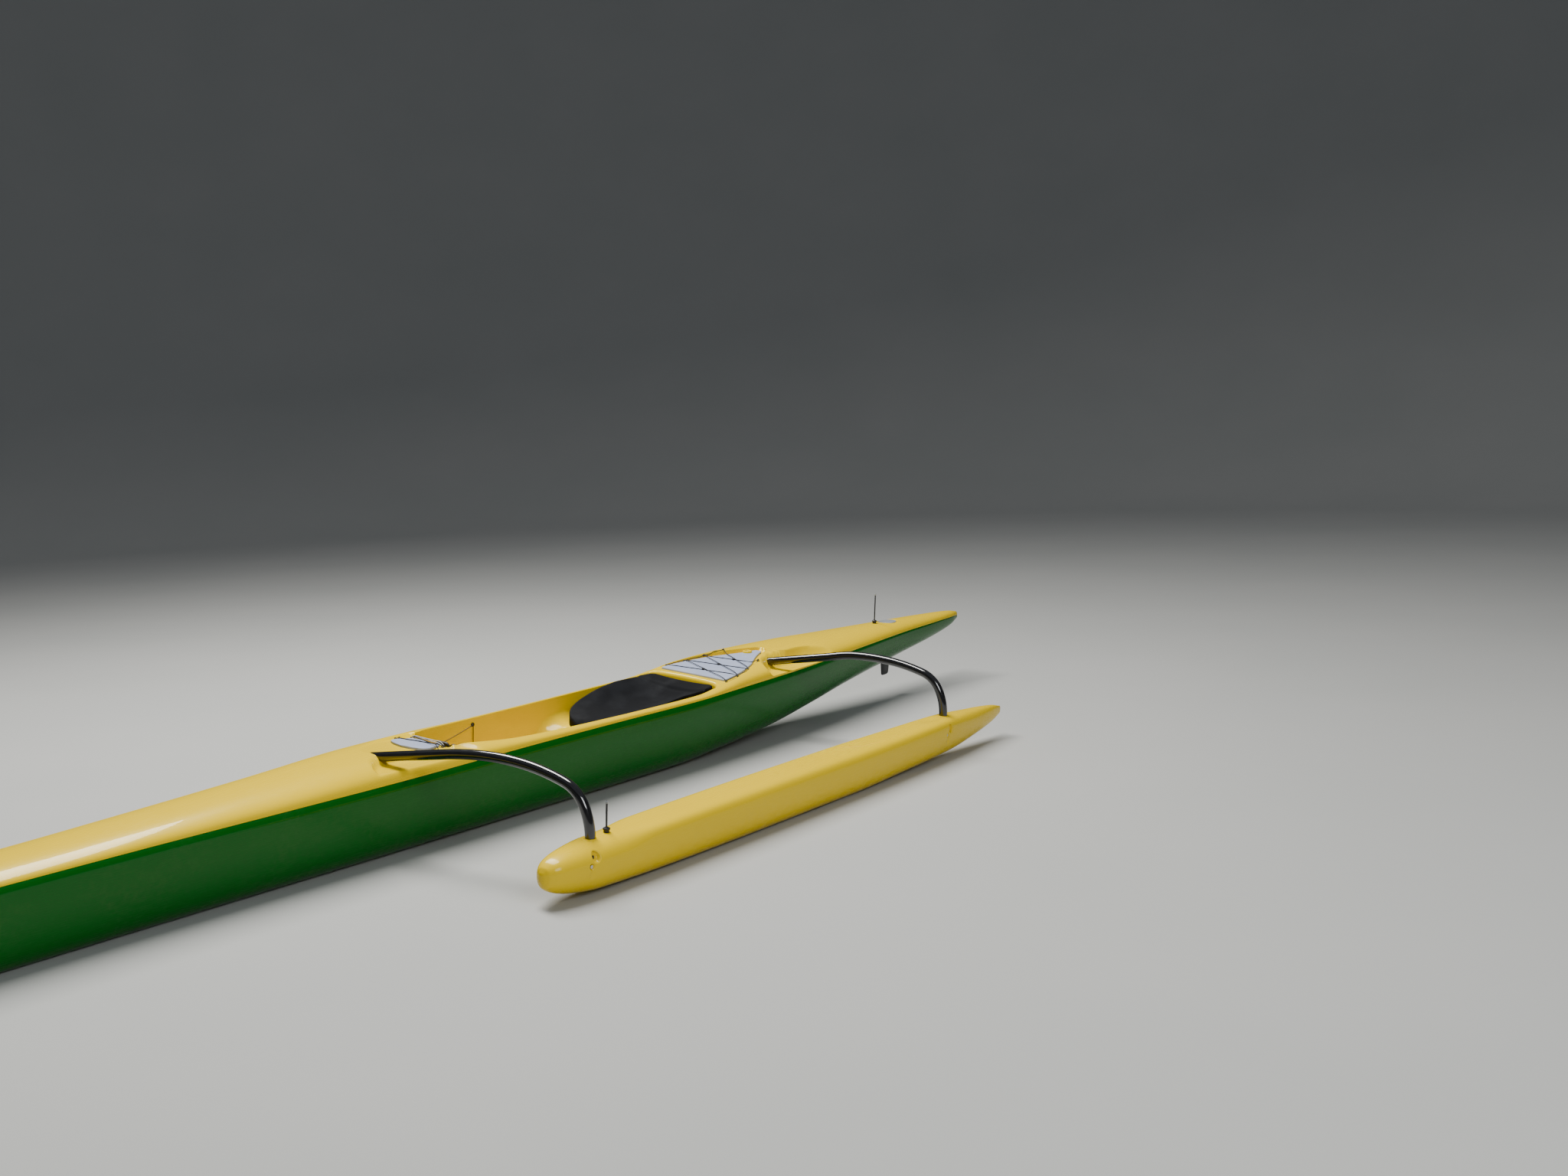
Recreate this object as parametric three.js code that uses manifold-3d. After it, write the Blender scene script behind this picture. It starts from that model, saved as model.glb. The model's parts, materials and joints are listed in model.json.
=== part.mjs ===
// Single-seat outrigger canoe: a decked hull with an open footwell and seat, two curved cross beams
// (iako) and one float (ama) on the port side, lying on level ground.
// Millimetres. +X to the bow, +Y to port (the float's side), +Z up, floor at z = 0.
// The canoe is drawn upright about its hull's centreline, with the keel's lowest line at z = 0 and the
// float carried higher than that. The last lines heel it to port until both lie on the floor, and move
// the middle of the whole footprint to the origin.
import * as THREE from 'three';
import { mergeVertices } from 'three/addons/utils/BufferGeometryUtils.js';
import Module from 'manifold-3d';

const wasm = await Module();
wasm.setup();

// Driving dimensions
const GAP = 0.3; // between pieces that touch
const BOW_X = 3000; // bow tip ahead of mid-length
const STERN_X = -3000;
const FRONT_BEAM_X = 510; // front cross beam, where it leaves the deck
const BEAM_SPACING = 1900;
const REAR_BEAM_X = FRONT_BEAM_X - BEAM_SPACING;
const BEAM_RADIUS = 15.5;
const BEAM_SWEEP = 4.3; // degrees that the beams lean aft on their way out
const HEEL = 4.7; // degrees that the hull leans to port with the float on the ground
const GROUND_RISE = 0.3; // the ground at the centreline, above the keel line, which it presses flat
const AMA_Y = 874; // float centreline from hull centreline
const AMA_TOP_AT_LEG = 227;
const AMA_SOCKET_DEPTH = 80;
const KEEL_FLAT = 14; // half width of the flat along the keel
const TUB_WALL = 4; // moulding thickness of the footwell and seat tub
const RUDDER_X = -2385;
const RUDDER_CLEARANCE = 6; // between the blade's top edge and the keel
const RUDDER_TIP_Z = 92; // lowest point of the blade above the keel line
const POST_RADIUS = 4;
const POST_BORE_RADIUS = 4.7;
const RUDDER_TUBE_RADIUS = 8;

// Hull lines. Columns: x, half width at the seam, seam height, keel height, deck height on the
// centreline, squareness of the deck's shoulders (2 is an ellipse).
const HULL_LINES = [
  [BOW_X, 5, 240, 128, 256, 2.0],
  [2988, 11, 240, 76, 263, 2.0],
  [2960, 18, 241, 50, 268, 2.0],
  [2890, 29, 242, 38, 272, 2.0],
  [2700, 49, 244, 30, 276, 2.0],
  [2350, 82, 249, 15, 278, 2.0],
  [2000, 108, 252, 4, 280, 2.0],
  [1600, 121, 256, 0, 287, 2.1],
  [1290, 132, 259, 0, 297, 2.2],
  [900, 149, 262, 0, 312, 2.3],
  [510, 167, 266, 0, 327, 2.6],
  [250, 176, 271, 0, 322, 2.9],
  [0, 184, 276, 0, 309, 3.4],
  [-400, 196, 280, 0, 303, 3.6],
  [-850, 208, 282, 3, 302, 3.4],
  [-1000, 206, 285, 12, 320, 3.2],
  [-1130, 204, 288, 22, 340, 3.0],
  [-1390, 196, 292, 46, 354, 2.6],
  [-1700, 170, 295, 88, 356, 2.3],
  [-1930, 143, 297, 122, 351, 2.1],
  [-2450, 80, 298, 184, 338, 2.0],
  [-2741, 54, 297, 220, 327, 2.0],
  [-2930, 30, 294, 252, 317, 2.0],
  [STERN_X, 12, 288, 272, 306, 2.0],
];

// Footwell and seat tub. Columns: x, half width at the rim, half width at the floor, floor height.
const TUB_LINES = [
  [262, 92, 52, 240],
  [236, 99, 66, 98],
  [184, 117, 80, 67],
  [60, 142, 92, 67],
  [-60, 154, 98, 68],
  [-260, 166, 108, 68],
  [-350, 170, 118, 120],
  [-410, 173, 132, 186],
  [-480, 176, 144, 212],
  [-780, 183, 152, 206],
  [-940, 176, 146, 218],
  [-985, 166, 138, 244],
];

// Seat pad. Columns: x, half width, top on the centreline, top at its sides.
const SEAT_PAD_LINES = [
  [-436, 46, 222, 226],
  [-460, 92, 240, 246],
  [-512, 134, 250, 262],
  [-600, 160, 251, 280],
  [-700, 170, 248, 298],
  [-800, 173, 247, 307],
  [-880, 170, 257, 307],
  [-938, 162, 275, 303],
  [-978, 152, 292, 299],
];

// Float lines from its front leg. Columns: x, half width, bottom, top.
const AMA_LINES = [
  [190, 10, 146, 174],
  [182, 26, 128, 190],
  [152, 46, 110, 206],
  [90, 62, 94, 219],
  [0, 73, 83, AMA_TOP_AT_LEG],
  [-350, 79, 74, 231],
  [-700, 80, 72, 232],
  [-1250, 78, 72, 231],
  [-1550, 71, 79, 229],
  [-BEAM_SPACING, 58, 92, AMA_TOP_AT_LEG],
  [-2110, 38, 114, 217],
  [-2260, 18, 138, 203],
  [-2328, 5, 158, 188],
];

// Cross beam, from its end inside the hull socket to its foot inside the float: length and turn of
// each stretch, in millimetres and degrees.
const BEAM_SOCKET_LENGTH = 75;
const BEAM_RISE = 11.5;
const BEAM_STRETCHES = [
  [BEAM_SOCKET_LENGTH + 280, 0],
  [190, -8],
  [140, -8],
  [140, -11],
  [94, -47],
  [94, -27.5],
];

// Colours, roughness and metalness
const GREEN = { color: 0x0a4a1c, roughness: 0.2, metalness: 0 };
const YELLOW = { color: 0xe9b90c, roughness: 0.2, metalness: 0 };
const BLACK_TUBE = { color: 0x0b0b0d, roughness: 0.15, metalness: 0.1 };
const BLACK_FOAM = { color: 0x101114, roughness: 0.9, metalness: 0 };
const GREY_FOAM = { color: 0x9aa6b4, roughness: 0.9, metalness: 0 };
const BLACK_PLASTIC = { color: 0x141414, roughness: 0.5, metalness: 0 };
const GREY_PLASTIC = { color: 0x8b9296, roughness: 0.5, metalness: 0 };
const STEEL = { color: 0xb8bcc0, roughness: 0.3, metalness: 1 };

const group = new THREE.Group();
const canoe = new THREE.Group();
group.add(canoe);

function addPiece(name, finish, geometry) {
  const mesh = new THREE.Mesh(geometry, new THREE.MeshStandardMaterial(finish));
  mesh.name = name;
  canoe.add(mesh);
  return mesh;
}

// A smooth curve through a table's rows that never overshoots them (cubic with limited slopes)
function lineThrough(rows, column) {
  const sorted = [...rows].sort((a, b) => a[0] - b[0]);
  const xs = sorted.map((row) => row[0]);
  const ys = sorted.map((row) => row[column]);
  const last = xs.length - 1;
  const slopes = xs.slice(1).map((x, i) => (ys[i + 1] - ys[i]) / (x - xs[i]));
  const tangents = xs.map((_, i) => {
    if (i === 0 || i === last) return slopes[Math.min(i, last - 1)];
    const before = slopes[i - 1];
    const after = slopes[i];
    return before * after <= 0 ? 0 : (2 * before * after) / (before + after);
  });
  return (x) => {
    let i = 0;
    while (i < last - 1 && x > xs[i + 1]) i += 1;
    const h = xs[i + 1] - xs[i];
    const t = Math.min(Math.max((x - xs[i]) / h, 0), 1);
    const a = ys[i] * (1 + 2 * t) * (1 - t) ** 2 + ys[i + 1] * t * t * (3 - 2 * t);
    return a + h * tangents[i] * t * (1 - t) ** 2 + h * tangents[i + 1] * t * t * (t - 1);
  };
}

// Rings of points skinned into one closed body, with a fan over each end
function skin(rings) {
  const count = rings[0].length;
  const points = rings.flat();
  const faces = [];
  for (let i = 0; i + 1 < rings.length; i += 1) {
    for (let j = 0; j < count; j += 1) {
      const a = i * count + j;
      const b = i * count + ((j + 1) % count);
      faces.push([a, b, b + count], [a, b + count, a + count]);
    }
  }
  for (const [start, first] of [[0, true], [(rings.length - 1) * count, false]]) {
    for (let j = 1; j + 1 < count; j += 1) {
      const [b, c] = first ? [start + j + 1, start + j] : [start + j, start + j + 1];
      faces.push([start, b, c]);
    }
  }
  const position = new Float32Array(points.flat());
  const geometry = new THREE.BufferGeometry();
  geometry.setAttribute('position', new THREE.BufferAttribute(position, 3));
  geometry.setIndex(faces.flat());
  return geometry;
}

function volumeOf(geometry) {
  const p = geometry.attributes.position;
  const index = geometry.index;
  const corner = [new THREE.Vector3(), new THREE.Vector3(), new THREE.Vector3()];
  let volume = 0;
  for (let i = 0; i < index.count; i += 3) {
    corner.forEach((v, k) => v.fromBufferAttribute(p, index.getX(i + k)));
    volume += corner[0].dot(corner[1].cross(corner[2])) / 6;
  }
  return volume;
}

// A manifold-3d solid from a closed geometry, turned right side out
function solid(geometry) {
  const bare = geometry.clone();
  bare.deleteAttribute('normal');
  bare.deleteAttribute('uv');
  const merged = mergeVertices(bare, 1e-4);
  const triVerts = new Uint32Array(merged.index.array);
  if (volumeOf(merged) < 0) triVerts.reverse();
  const vertProperties = new Float32Array(merged.attributes.position.array);
  return new wasm.Manifold(new wasm.Mesh({ numProp: 3, vertProperties, triVerts }));
}

function geometryOf(manifold) {
  const mesh = manifold.getMesh();
  const geometry = new THREE.BufferGeometry();
  geometry.setAttribute('position', new THREE.BufferAttribute(mesh.vertProperties, 3));
  geometry.setIndex(new THREE.BufferAttribute(mesh.triVerts, 1));
  return geometry;
}

// An upright cylinder standing on z = low
function upright(radius, low, high, x, y, sides = 24) {
  const geometry = new THREE.CylinderGeometry(radius, radius, high - low, sides);
  geometry.rotateX(Math.PI / 2);
  geometry.translate(x, y, (low + high) / 2);
  return geometry;
}

// A flat outline in plan, from z = low to z = high
function slab(shape, low, high, curveSegments = 8) {
  const settings = { depth: high - low, bevelEnabled: false, curveSegments };
  const geometry = new THREE.ExtrudeGeometry(shape, settings);
  geometry.translate(0, 0, low);
  return geometry;
}

const STATION_EASE = 0.08; // how much closer together the end stations are

// x stations for a skin, spread over a span and closer together at both ends
function stations(from, to, count) {
  return Array.from({ length: count }, (_, i) => {
    const t = i / (count - 1);
    const eased = t - Math.sin(2 * Math.PI * t) * STATION_EASE;
    return from + (to - from) * eased;
  });
}

// Hull
const seamHalf = lineThrough(HULL_LINES, 1);
const seamZ = lineThrough(HULL_LINES, 2);
const keelZ = lineThrough(HULL_LINES, 3);
const deckZ = lineThrough(HULL_LINES, 4);
const deckSquareness = lineThrough(HULL_LINES, 5);
const BILGE_POWER = 0.8; // below 1 gives fuller bilges than an ellipse
const HULL_STATIONS = 44;
const BOTTOM_STEPS = 7;
const KEEL_FLAT_SHARE = 0.4; // most of the half width that the keel's flat may take, at the ends
const DECK_STEPS = 14;

function bottomRing(x) {
  const half = seamHalf(x);
  const flat = Math.min(KEEL_FLAT, half * KEEL_FLAT_SHARE);
  const top = seamZ(x) - GAP / 2;
  const ring = [];
  for (let i = 0; i <= BOTTOM_STEPS; i += 1) {
    const angle = (i / BOTTOM_STEPS) * (Math.PI / 2);
    const y = flat + (half - flat) * Math.cos(angle) ** BILGE_POWER;
    ring.push([x, y, top - (top - keelZ(x)) * Math.sin(angle) ** BILGE_POWER]);
  }
  return [...ring, ...ring.map(([px, y, z]) => [px, -y, z]).reverse()];
}

function deckRing(x) {
  const half = seamHalf(x);
  const low = seamZ(x) + GAP / 2;
  const power = 2 / deckSquareness(x);
  const ring = [];
  for (let i = 0; i <= DECK_STEPS; i += 1) {
    const angle = (i / DECK_STEPS) * Math.PI;
    const cos = Math.cos(angle);
    const y = half * Math.sign(cos) * Math.abs(cos) ** power;
    ring.push([x, y, low + (deckZ(x) - low) * Math.max(Math.sin(angle), 0) ** power]);
  }
  return ring;
}

const tubRim = lineThrough(TUB_LINES, 1);
const tubFloorHalf = lineThrough(TUB_LINES, 2);
const tubFloorZ = lineThrough(TUB_LINES, 3);
const TUB_FRONT = TUB_LINES[0][0];
const TUB_BACK = TUB_LINES[TUB_LINES.length - 1][0];
const TUB_TOP = 420; // higher than the deck, for cuts that open upwards
const TUB_STEPS = 5;
const TUB_TURN = 0.45; // share of the tub's depth over which its wall turns into its floor
const TUB_FLOOR_SHARE = 0.6; // share of the floor's half width that is flat
const TUB_ROUNDNESS = 0.9;
const TUB_LAP = 10; // how far the tub's wall reaches into the deck above the seam

// One cross-section of the tub's space, grown outwards by a wall and cut off at a height
function tubRing(x, wall, top) {
  const inside = Math.min(Math.max(x, TUB_BACK), TUB_FRONT);
  const floor = tubFloorZ(inside) - wall;
  const rim = tubRim(inside) + wall;
  const low = tubFloorHalf(inside) + wall;
  const ring = [[x, rim, top]];
  const shoulder = floor + (Math.min(seamZ(x), top) - floor) * TUB_TURN;
  const flat = low * TUB_FLOOR_SHARE;
  for (let i = 0; i <= TUB_STEPS; i += 1) {
    const angle = (i / TUB_STEPS) * (Math.PI / 2);
    const y = flat + (rim - flat) * Math.cos(angle) ** TUB_ROUNDNESS;
    ring.push([x, y, shoulder - (shoulder - floor) * Math.sin(angle)]);
  }
  return [...ring, ...ring.map(([px, y, z]) => [px, -y, z]).reverse()];
}

function tubSolid(wall, top) {
  const xs = stations(TUB_FRONT, TUB_BACK, 22);
  xs[0] += wall;
  xs[xs.length - 1] -= wall;
  return solid(skin(xs.map((x) => tubRing(x, wall, top(x)))));
}

const hullXs = stations(BOW_X, STERN_X, HULL_STATIONS);
const toRadians = THREE.MathUtils.degToRad;
const heel = toRadians(HEEL);

// The ground as it lies in the upright canoe's frame, rising to port
const GROUND_SIZE = { length: 6600, width: 3000, depth: 200 };

function groundSolid() {
  const block = new THREE.BoxGeometry(GROUND_SIZE.length, GROUND_SIZE.width, GROUND_SIZE.depth);
  block.translate(0, 0, -GROUND_SIZE.depth / 2);
  block.rotateX(heel);
  block.translate(0, 0, GROUND_RISE);
  return solid(block);
}
const ground = groundSolid();
const BORE_TOP = 500; // higher than everything, for upright bores
const tubSpace = tubSolid(0, () => TUB_TOP);
const tubBody = tubSolid(TUB_WALL, (x) => seamZ(x) + TUB_LAP);
const tubClearance = tubSolid(TUB_WALL + GAP, () => TUB_TOP);

// Cross beams
const sweep = toRadians(BEAM_SWEEP);

const BEND_STEP = 7; // most degrees that the beam turns in one straight step

// The beam's middle line in its own upright plane
function beamPath(startY, startZ) {
  const points = [new THREE.Vector3(0, startY, startZ)];
  const foot = AMA_TOP_AT_LEG - AMA_SOCKET_DEPTH;
  const at = points[0].clone();
  let heading = toRadians(BEAM_RISE);
  for (const [length, turn] of BEAM_STRETCHES) {
    const steps = Math.max(Math.ceil(Math.abs(turn) / BEND_STEP), 1);
    for (let i = 0; i < steps; i += 1) {
      heading += toRadians(turn) / steps / 2;
      at.y += (Math.cos(heading) * length) / steps;
      at.z += (Math.sin(heading) * length) / steps;
      heading += toRadians(turn) / steps / 2;
      points.push(at.clone());
    }
  }
  points.push(new THREE.Vector3(0, at.y, foot));
  return points;
}

// A round bar along straight steps between points in one upright swept plane, mitred at each point
function roundBar(points, radius, sides = 14) {
  const across = new THREE.Vector3(Math.cos(sweep), Math.sin(sweep), 0);
  const rings = points.map((point, i) => {
    const before = points[Math.max(i - 1, 0)];
    const after = points[Math.min(i + 1, points.length - 1)];
    const along = after.clone().sub(before).normalize();
    const up = new THREE.Vector3().crossVectors(along, across);
    return Array.from({ length: sides }, (_, k) => {
      const angle = (2 * Math.PI * k) / sides;
      const spot = point.clone();
      spot.addScaledVector(across, radius * Math.cos(angle));
      spot.addScaledVector(up, radius * Math.sin(angle));
      return spot.toArray();
    });
  });
  return skin(rings);
}

// Where each beam leaves the deck's port shoulder
const FRONT_SOCKET = { x: FRONT_BEAM_X, y: 44, z: 317 };
const REAR_SOCKET = { x: REAR_BEAM_X, y: 85, z: 323 };

function beamFrom(socket) {
  const rise = toRadians(BEAM_RISE);
  const startY = socket.y - BEAM_SOCKET_LENGTH * Math.cos(rise);
  const startZ = socket.z - BEAM_SOCKET_LENGTH * Math.sin(rise);
  const path = beamPath(startY, startZ);
  const miss = AMA_Y - path[path.length - 1].y;
  for (const point of path.slice(2)) point.y += miss;
  for (const point of path) point.x = socket.x - Math.tan(sweep) * (point.y - socket.y);
  return path;
}

const frontBeamPath = beamFrom(FRONT_SOCKET);
const rearBeamPath = beamFrom(REAR_SOCKET);

// The same bar a little larger and longer, to cut its socket
function beamClearance(path) {
  const first = path[0].clone();
  const last = path[path.length - 1].clone();
  const startWay = first.clone().sub(path[1]).normalize();
  const endWay = last.clone().sub(path[path.length - 2]).normalize();
  first.addScaledVector(startWay, GAP);
  last.addScaledVector(endWay, GAP);
  return solid(roundBar([first, ...path.slice(1, -1), last], BEAM_RADIUS + GAP));
}

addPiece('front_iako', BLACK_TUBE, roundBar(frontBeamPath, BEAM_RADIUS));
addPiece('rear_iako', BLACK_TUBE, roundBar(rearBeamPath, BEAM_RADIUS));

// The deck's port shoulder is scooped out around each beam, steepest where the beam comes out
const SCOOP = { aft: 25, length: 270, reach: 150, inboard: 6, depth: 40, rise: 20 };

function beamScoop({ x, y, z }) {
  const hollow = new THREE.SphereGeometry(1, 24, 16);
  hollow.rotateX(Math.PI / 2);
  hollow.scale(SCOOP.length / 2, SCOOP.reach, SCOOP.depth);
  hollow.translate(x - SCOOP.aft, y + SCOOP.reach - SCOOP.inboard, z + SCOOP.rise);
  return solid(hollow);
}

// Each deck pad lies on a bed that slopes up along the deck. x and z: where a bed starts.
const PAD_THICKNESS = 7;
const FRONT_BED = { x: 262, z: 304, slope: 5 };
const REAR_BED = { x: -1020, z: 312, slope: -3.6 };

// A flat outline in plan laid on a bed, from a height above the bed to another
function onBed(bed, shape, low, high) {
  const geometry = slab(shape, low, high);
  geometry.translate(-bed.x, 0, 0);
  geometry.rotateY(-toRadians(bed.slope));
  geometry.translate(bed.x, 0, bed.z);
  return geometry;
}

// A closed outline from its starboard half, given as curves: [control x, control y, end x, end y]
function bothSides(startX, startY, curves) {
  const shape = new THREE.Shape();
  shape.moveTo(startX, -startY);
  for (const [cx, cy, x, y] of curves) shape.quadraticCurveTo(cx, -cy, x, -y);
  let back = [startX, startY];
  const ends = [back, ...curves.map(([, , x, y]) => [x, y])];
  for (let i = curves.length - 1; i >= 0; i -= 1) {
    back = ends[i];
    shape.quadraticCurveTo(curves[i][0], curves[i][1], back[0], back[1]);
  }
  shape.closePath();
  return shape;
}

const frontShelf = bothSides(240, 98, [[330, 112, 380, 86], [404, 66, 404, 0]]);
const frontPadShape = bothSides(279, 62, [[310, 72, 336, 80], [366, 84, 374, 56], [386, 30, 386, 0]]);
const rearBedShape = bothSides(-1020, 178, [
  [-1150, 174, -1290, 114],
  [-1415, 46, -1466, 24],
  [-1474, 12, -1474, 0],
]);
const rearPadShape = bothSides(-1034, 160, [
  [-1150, 154, -1284, 96],
  [-1385, 34, -1444, 18],
  [-1452, 10, -1452, 0],
]);

// Rudder hatch: an oval well in the stern deck under a flat cover
const HATCH = { x: RUDDER_X - 13, length: 112, width: 70, ledge: 9, sink: 8, depth: 32, cover: 4 };
const hatchCrown = deckZ(HATCH.x);
const hatchWellFloor = hatchCrown - HATCH.depth;

function oval(x, length, width) {
  const shape = new THREE.Shape();
  shape.absellipse(x, 0, length / 2, width / 2, 0, 2 * Math.PI);
  return shape;
}

// A small round cup in the rear pad's aft corner, with a grey disc in it
const CUP = { x: -1402, y: -21, radius: 19, inner: 10, top: 349, floor: 333, plugHeight: 11 };

// Vents: a flanged base sunk a little into the surface, and a thin upright tube on it
const VENT = {
  radius: 8.5, flange: 10.5, flangeLow: 10, flangeHigh: 14, topRadius: 8.5, height: 16, sink: 2,
  tubeRadius: 2.8, amaTubeHeight: 78, hullTubeHeight: 120,
};
const HULL_VENT_X = -2294;

// Each moulding is drawn in four lengths, and the deck's open ones in a port and a starboard half, so
// that their collision pieces can follow the cockpit
const LENGTH_CUTS = [275, -335, -1008];
const FORWARDS = [1, 0, 0];
const BACKWARDS = [-1, 0, 0];
const PORTWARDS = [0, 1, 0];
const STARBOARDWARDS = [0, -1, 0];

function between(whole, high, low) {
  return whole.trimByPlane(BACKWARDS, GAP / 2 - high).trimByPlane(FORWARDS, low + GAP / 2);
}

function addInLengths(name, finish, whole, inHalves) {
  const [bowCut, kneeCut, sternCut] = LENGTH_CUTS;
  addPiece(`${name}_bow`, finish, geometryOf(whole.trimByPlane(FORWARDS, bowCut + GAP / 2)));
  for (const [place, high, low] of [['footwell', bowCut, kneeCut], ['seat', kneeCut, sternCut]]) {
    const length = between(whole, high, low);
    if (inHalves) {
      addPiece(`${name}_${place}_port`, finish, geometryOf(length.trimByPlane(PORTWARDS, GAP / 2)));
      addPiece(`${name}_${place}_starboard`, finish, geometryOf(length.trimByPlane(STARBOARDWARDS, GAP / 2)));
    } else {
      addPiece(`${name}_${place}`, finish, geometryOf(length));
    }
  }
  addPiece(`${name}_stern`, finish, geometryOf(whole.trimByPlane(BACKWARDS, GAP / 2 - sternCut)));
}

const hullBottomRings = hullXs.map(bottomRing);
const rudderTubeBore = solid(upright(RUDDER_TUBE_RADIUS + GAP, 0, BORE_TOP, RUDDER_X, 0, 24));
let hullBottom = solid(skin(hullBottomRings)).subtract(tubClearance);
hullBottom = hullBottom.subtract(rudderTubeBore).subtract(ground);
addInLengths('hull_bottom', GREEN, hullBottom, false);

let deck = solid(skin(hullXs.map(deckRing)));
deck = deck.add(tubBody);
deck = deck.subtract(beamScoop(FRONT_SOCKET)).subtract(beamScoop(REAR_SOCKET));
deck = deck.subtract(tubSpace);
deck = deck.subtract(beamClearance(frontBeamPath));
deck = deck.subtract(beamClearance(rearBeamPath));
deck = deck.subtract(solid(onBed(FRONT_BED, frontShelf, 0, TUB_TOP - FRONT_BED.z)));
deck = deck.subtract(solid(onBed(REAR_BED, rearBedShape, 0, TUB_TOP - REAR_BED.z)));
deck = deck.add(solid(upright(CUP.radius, CUP.floor - 3, CUP.top, CUP.x, CUP.y, 28)));
deck = deck.subtract(solid(upright(CUP.inner, CUP.floor, TUB_TOP, CUP.x, CUP.y, 28)));
deck = deck.subtract(rudderTubeBore);
const hatchSeat = oval(HATCH.x, HATCH.length, HATCH.width);
const hatchWell = oval(HATCH.x, HATCH.length - 2 * HATCH.ledge, HATCH.width - 2 * HATCH.ledge);
deck = deck.subtract(solid(slab(hatchSeat, hatchCrown - HATCH.sink, TUB_TOP)));
deck = deck.subtract(solid(slab(hatchWell, hatchWellFloor, TUB_TOP)));
const hullVentSeat = deckZ(HULL_VENT_X) - VENT.sink;
deck = deck.subtract(solid(upright(VENT.radius + GAP, hullVentSeat, TUB_TOP, HULL_VENT_X, 0)));
addInLengths('deck', YELLOW, deck, true);

const padTop = GAP + PAD_THICKNESS;
addPiece('front_deck_pad', GREY_FOAM, onBed(FRONT_BED, frontPadShape, GAP, padTop));
const cupHole = solid(upright(CUP.radius + 1, 0, BORE_TOP, CUP.x, CUP.y, 28));
const rearPad = solid(onBed(REAR_BED, rearPadShape, GAP, padTop)).subtract(cupHole);
addPiece('rear_deck_pad', GREY_FOAM, geometryOf(rearPad));
const cupDisc = upright(CUP.inner - 0.5, CUP.floor + GAP, CUP.floor + CUP.plugHeight, CUP.x, CUP.y, 28);
addPiece('deck_cup_pad', GREY_FOAM, cupDisc);

const coverLow = hatchCrown - HATCH.sink + GAP;
const coverShape = oval(HATCH.x, HATCH.length - 2, HATCH.width - 2);
addPiece('rudder_hatch_cover', GREY_PLASTIC, slab(coverShape, coverLow, coverLow + HATCH.cover));

// Seat pad: rounded in section, its underside fitted to the seat
const SEAT_PAD = { below: 100, edgeFall: 14, edgeStart: 0.8 };

function seatPad() {
  const half = lineThrough(SEAT_PAD_LINES, 1);
  const middle = lineThrough(SEAT_PAD_LINES, 2);
  const side = lineThrough(SEAT_PAD_LINES, 3);
  const steps = 10;
  const xs = SEAT_PAD_LINES.map((row) => row[0]);
  const rings = xs.map((x) => {
    const ring = [[x, -half(x), SEAT_PAD.below], [x, half(x), SEAT_PAD.below]];
    for (let i = 0; i <= steps; i += 1) {
      const across = 1 - (2 * i) / steps;
      const beyond = Math.max(Math.abs(across) - SEAT_PAD.edgeStart, 0) / (1 - SEAT_PAD.edgeStart);
      const z = middle(x) + (side(x) - middle(x)) * across * across - SEAT_PAD.edgeFall * beyond;
      ring.push([x, half(x) * across, z]);
    }
    return ring;
  });
  return solid(skin(rings)).intersect(tubSolid(-GAP, () => TUB_TOP));
}
addPiece('seat_pad', BLACK_FOAM, geometryOf(seatPad()));

// Steering pedals on two rails in the footwell
const FOOTWELL_FLOOR = tubFloorZ(-60);
const RAIL = { from: -50, to: 176, y: 42, width: 12, height: 9 };
const BRACE = { x: 140, length: 30, width: 116, height: 7 };
const PEDAL = { width: 60, height: 188, thickness: 8, corner: 16, lean: 12, y: 33 };

function block(xLow, xHigh, yLow, yHigh, zLow, zHigh) {
  const geometry = new THREE.BoxGeometry(xHigh - xLow, yHigh - yLow, zHigh - zLow);
  geometry.translate((xLow + xHigh) / 2, (yLow + yHigh) / 2, (zLow + zHigh) / 2);
  return geometry;
}

function roundedPlate(width, height, thickness, corner) {
  const w = width / 2;
  const shape = new THREE.Shape();
  shape.moveTo(-w, 0);
  shape.lineTo(w, 0);
  shape.lineTo(w, height - corner);
  shape.quadraticCurveTo(w, height, w - corner, height);
  shape.lineTo(corner - w, height);
  shape.quadraticCurveTo(-w, height, -w, height - corner);
  shape.closePath();
  const geometry = slab(shape, 0, thickness, 5);
  geometry.rotateX(Math.PI / 2);
  geometry.rotateZ(Math.PI / 2);
  return geometry;
}

const railLow = FOOTWELL_FLOOR + GAP;
const braceLow = railLow + RAIL.height + GAP;
const pedalDip = PEDAL.thickness * Math.sin(toRadians(PEDAL.lean)); // its front edge, once leant
const pedalLow = braceLow + BRACE.height + GAP + pedalDip;
for (const [side, name] of [[1, 'left'], [-1, 'right']]) {
  const y = side * RAIL.y;
  const half = RAIL.width / 2;
  const rail = block(RAIL.from, RAIL.to, y - half, y + half, railLow, railLow + RAIL.height);
  addPiece(`${name}_pedal_rail`, BLACK_PLASTIC, rail);
  const pedal = roundedPlate(PEDAL.width, PEDAL.height, PEDAL.thickness, PEDAL.corner);
  const mesh = addPiece(`${name}_pedal`, BLACK_PLASTIC, pedal);
  mesh.rotation.y = toRadians(PEDAL.lean);
  mesh.position.set(BRACE.x, side * PEDAL.y, pedalLow);
}
const braceFore = BRACE.x + BRACE.length / 2;
const braceHalf = BRACE.width / 2;
const braceTop = braceLow + BRACE.height;
const brace = block(braceFore - BRACE.length, braceFore, -braceHalf, braceHalf, braceLow, braceTop);
addPiece('foot_brace', BLACK_PLASTIC, brace);

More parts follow.
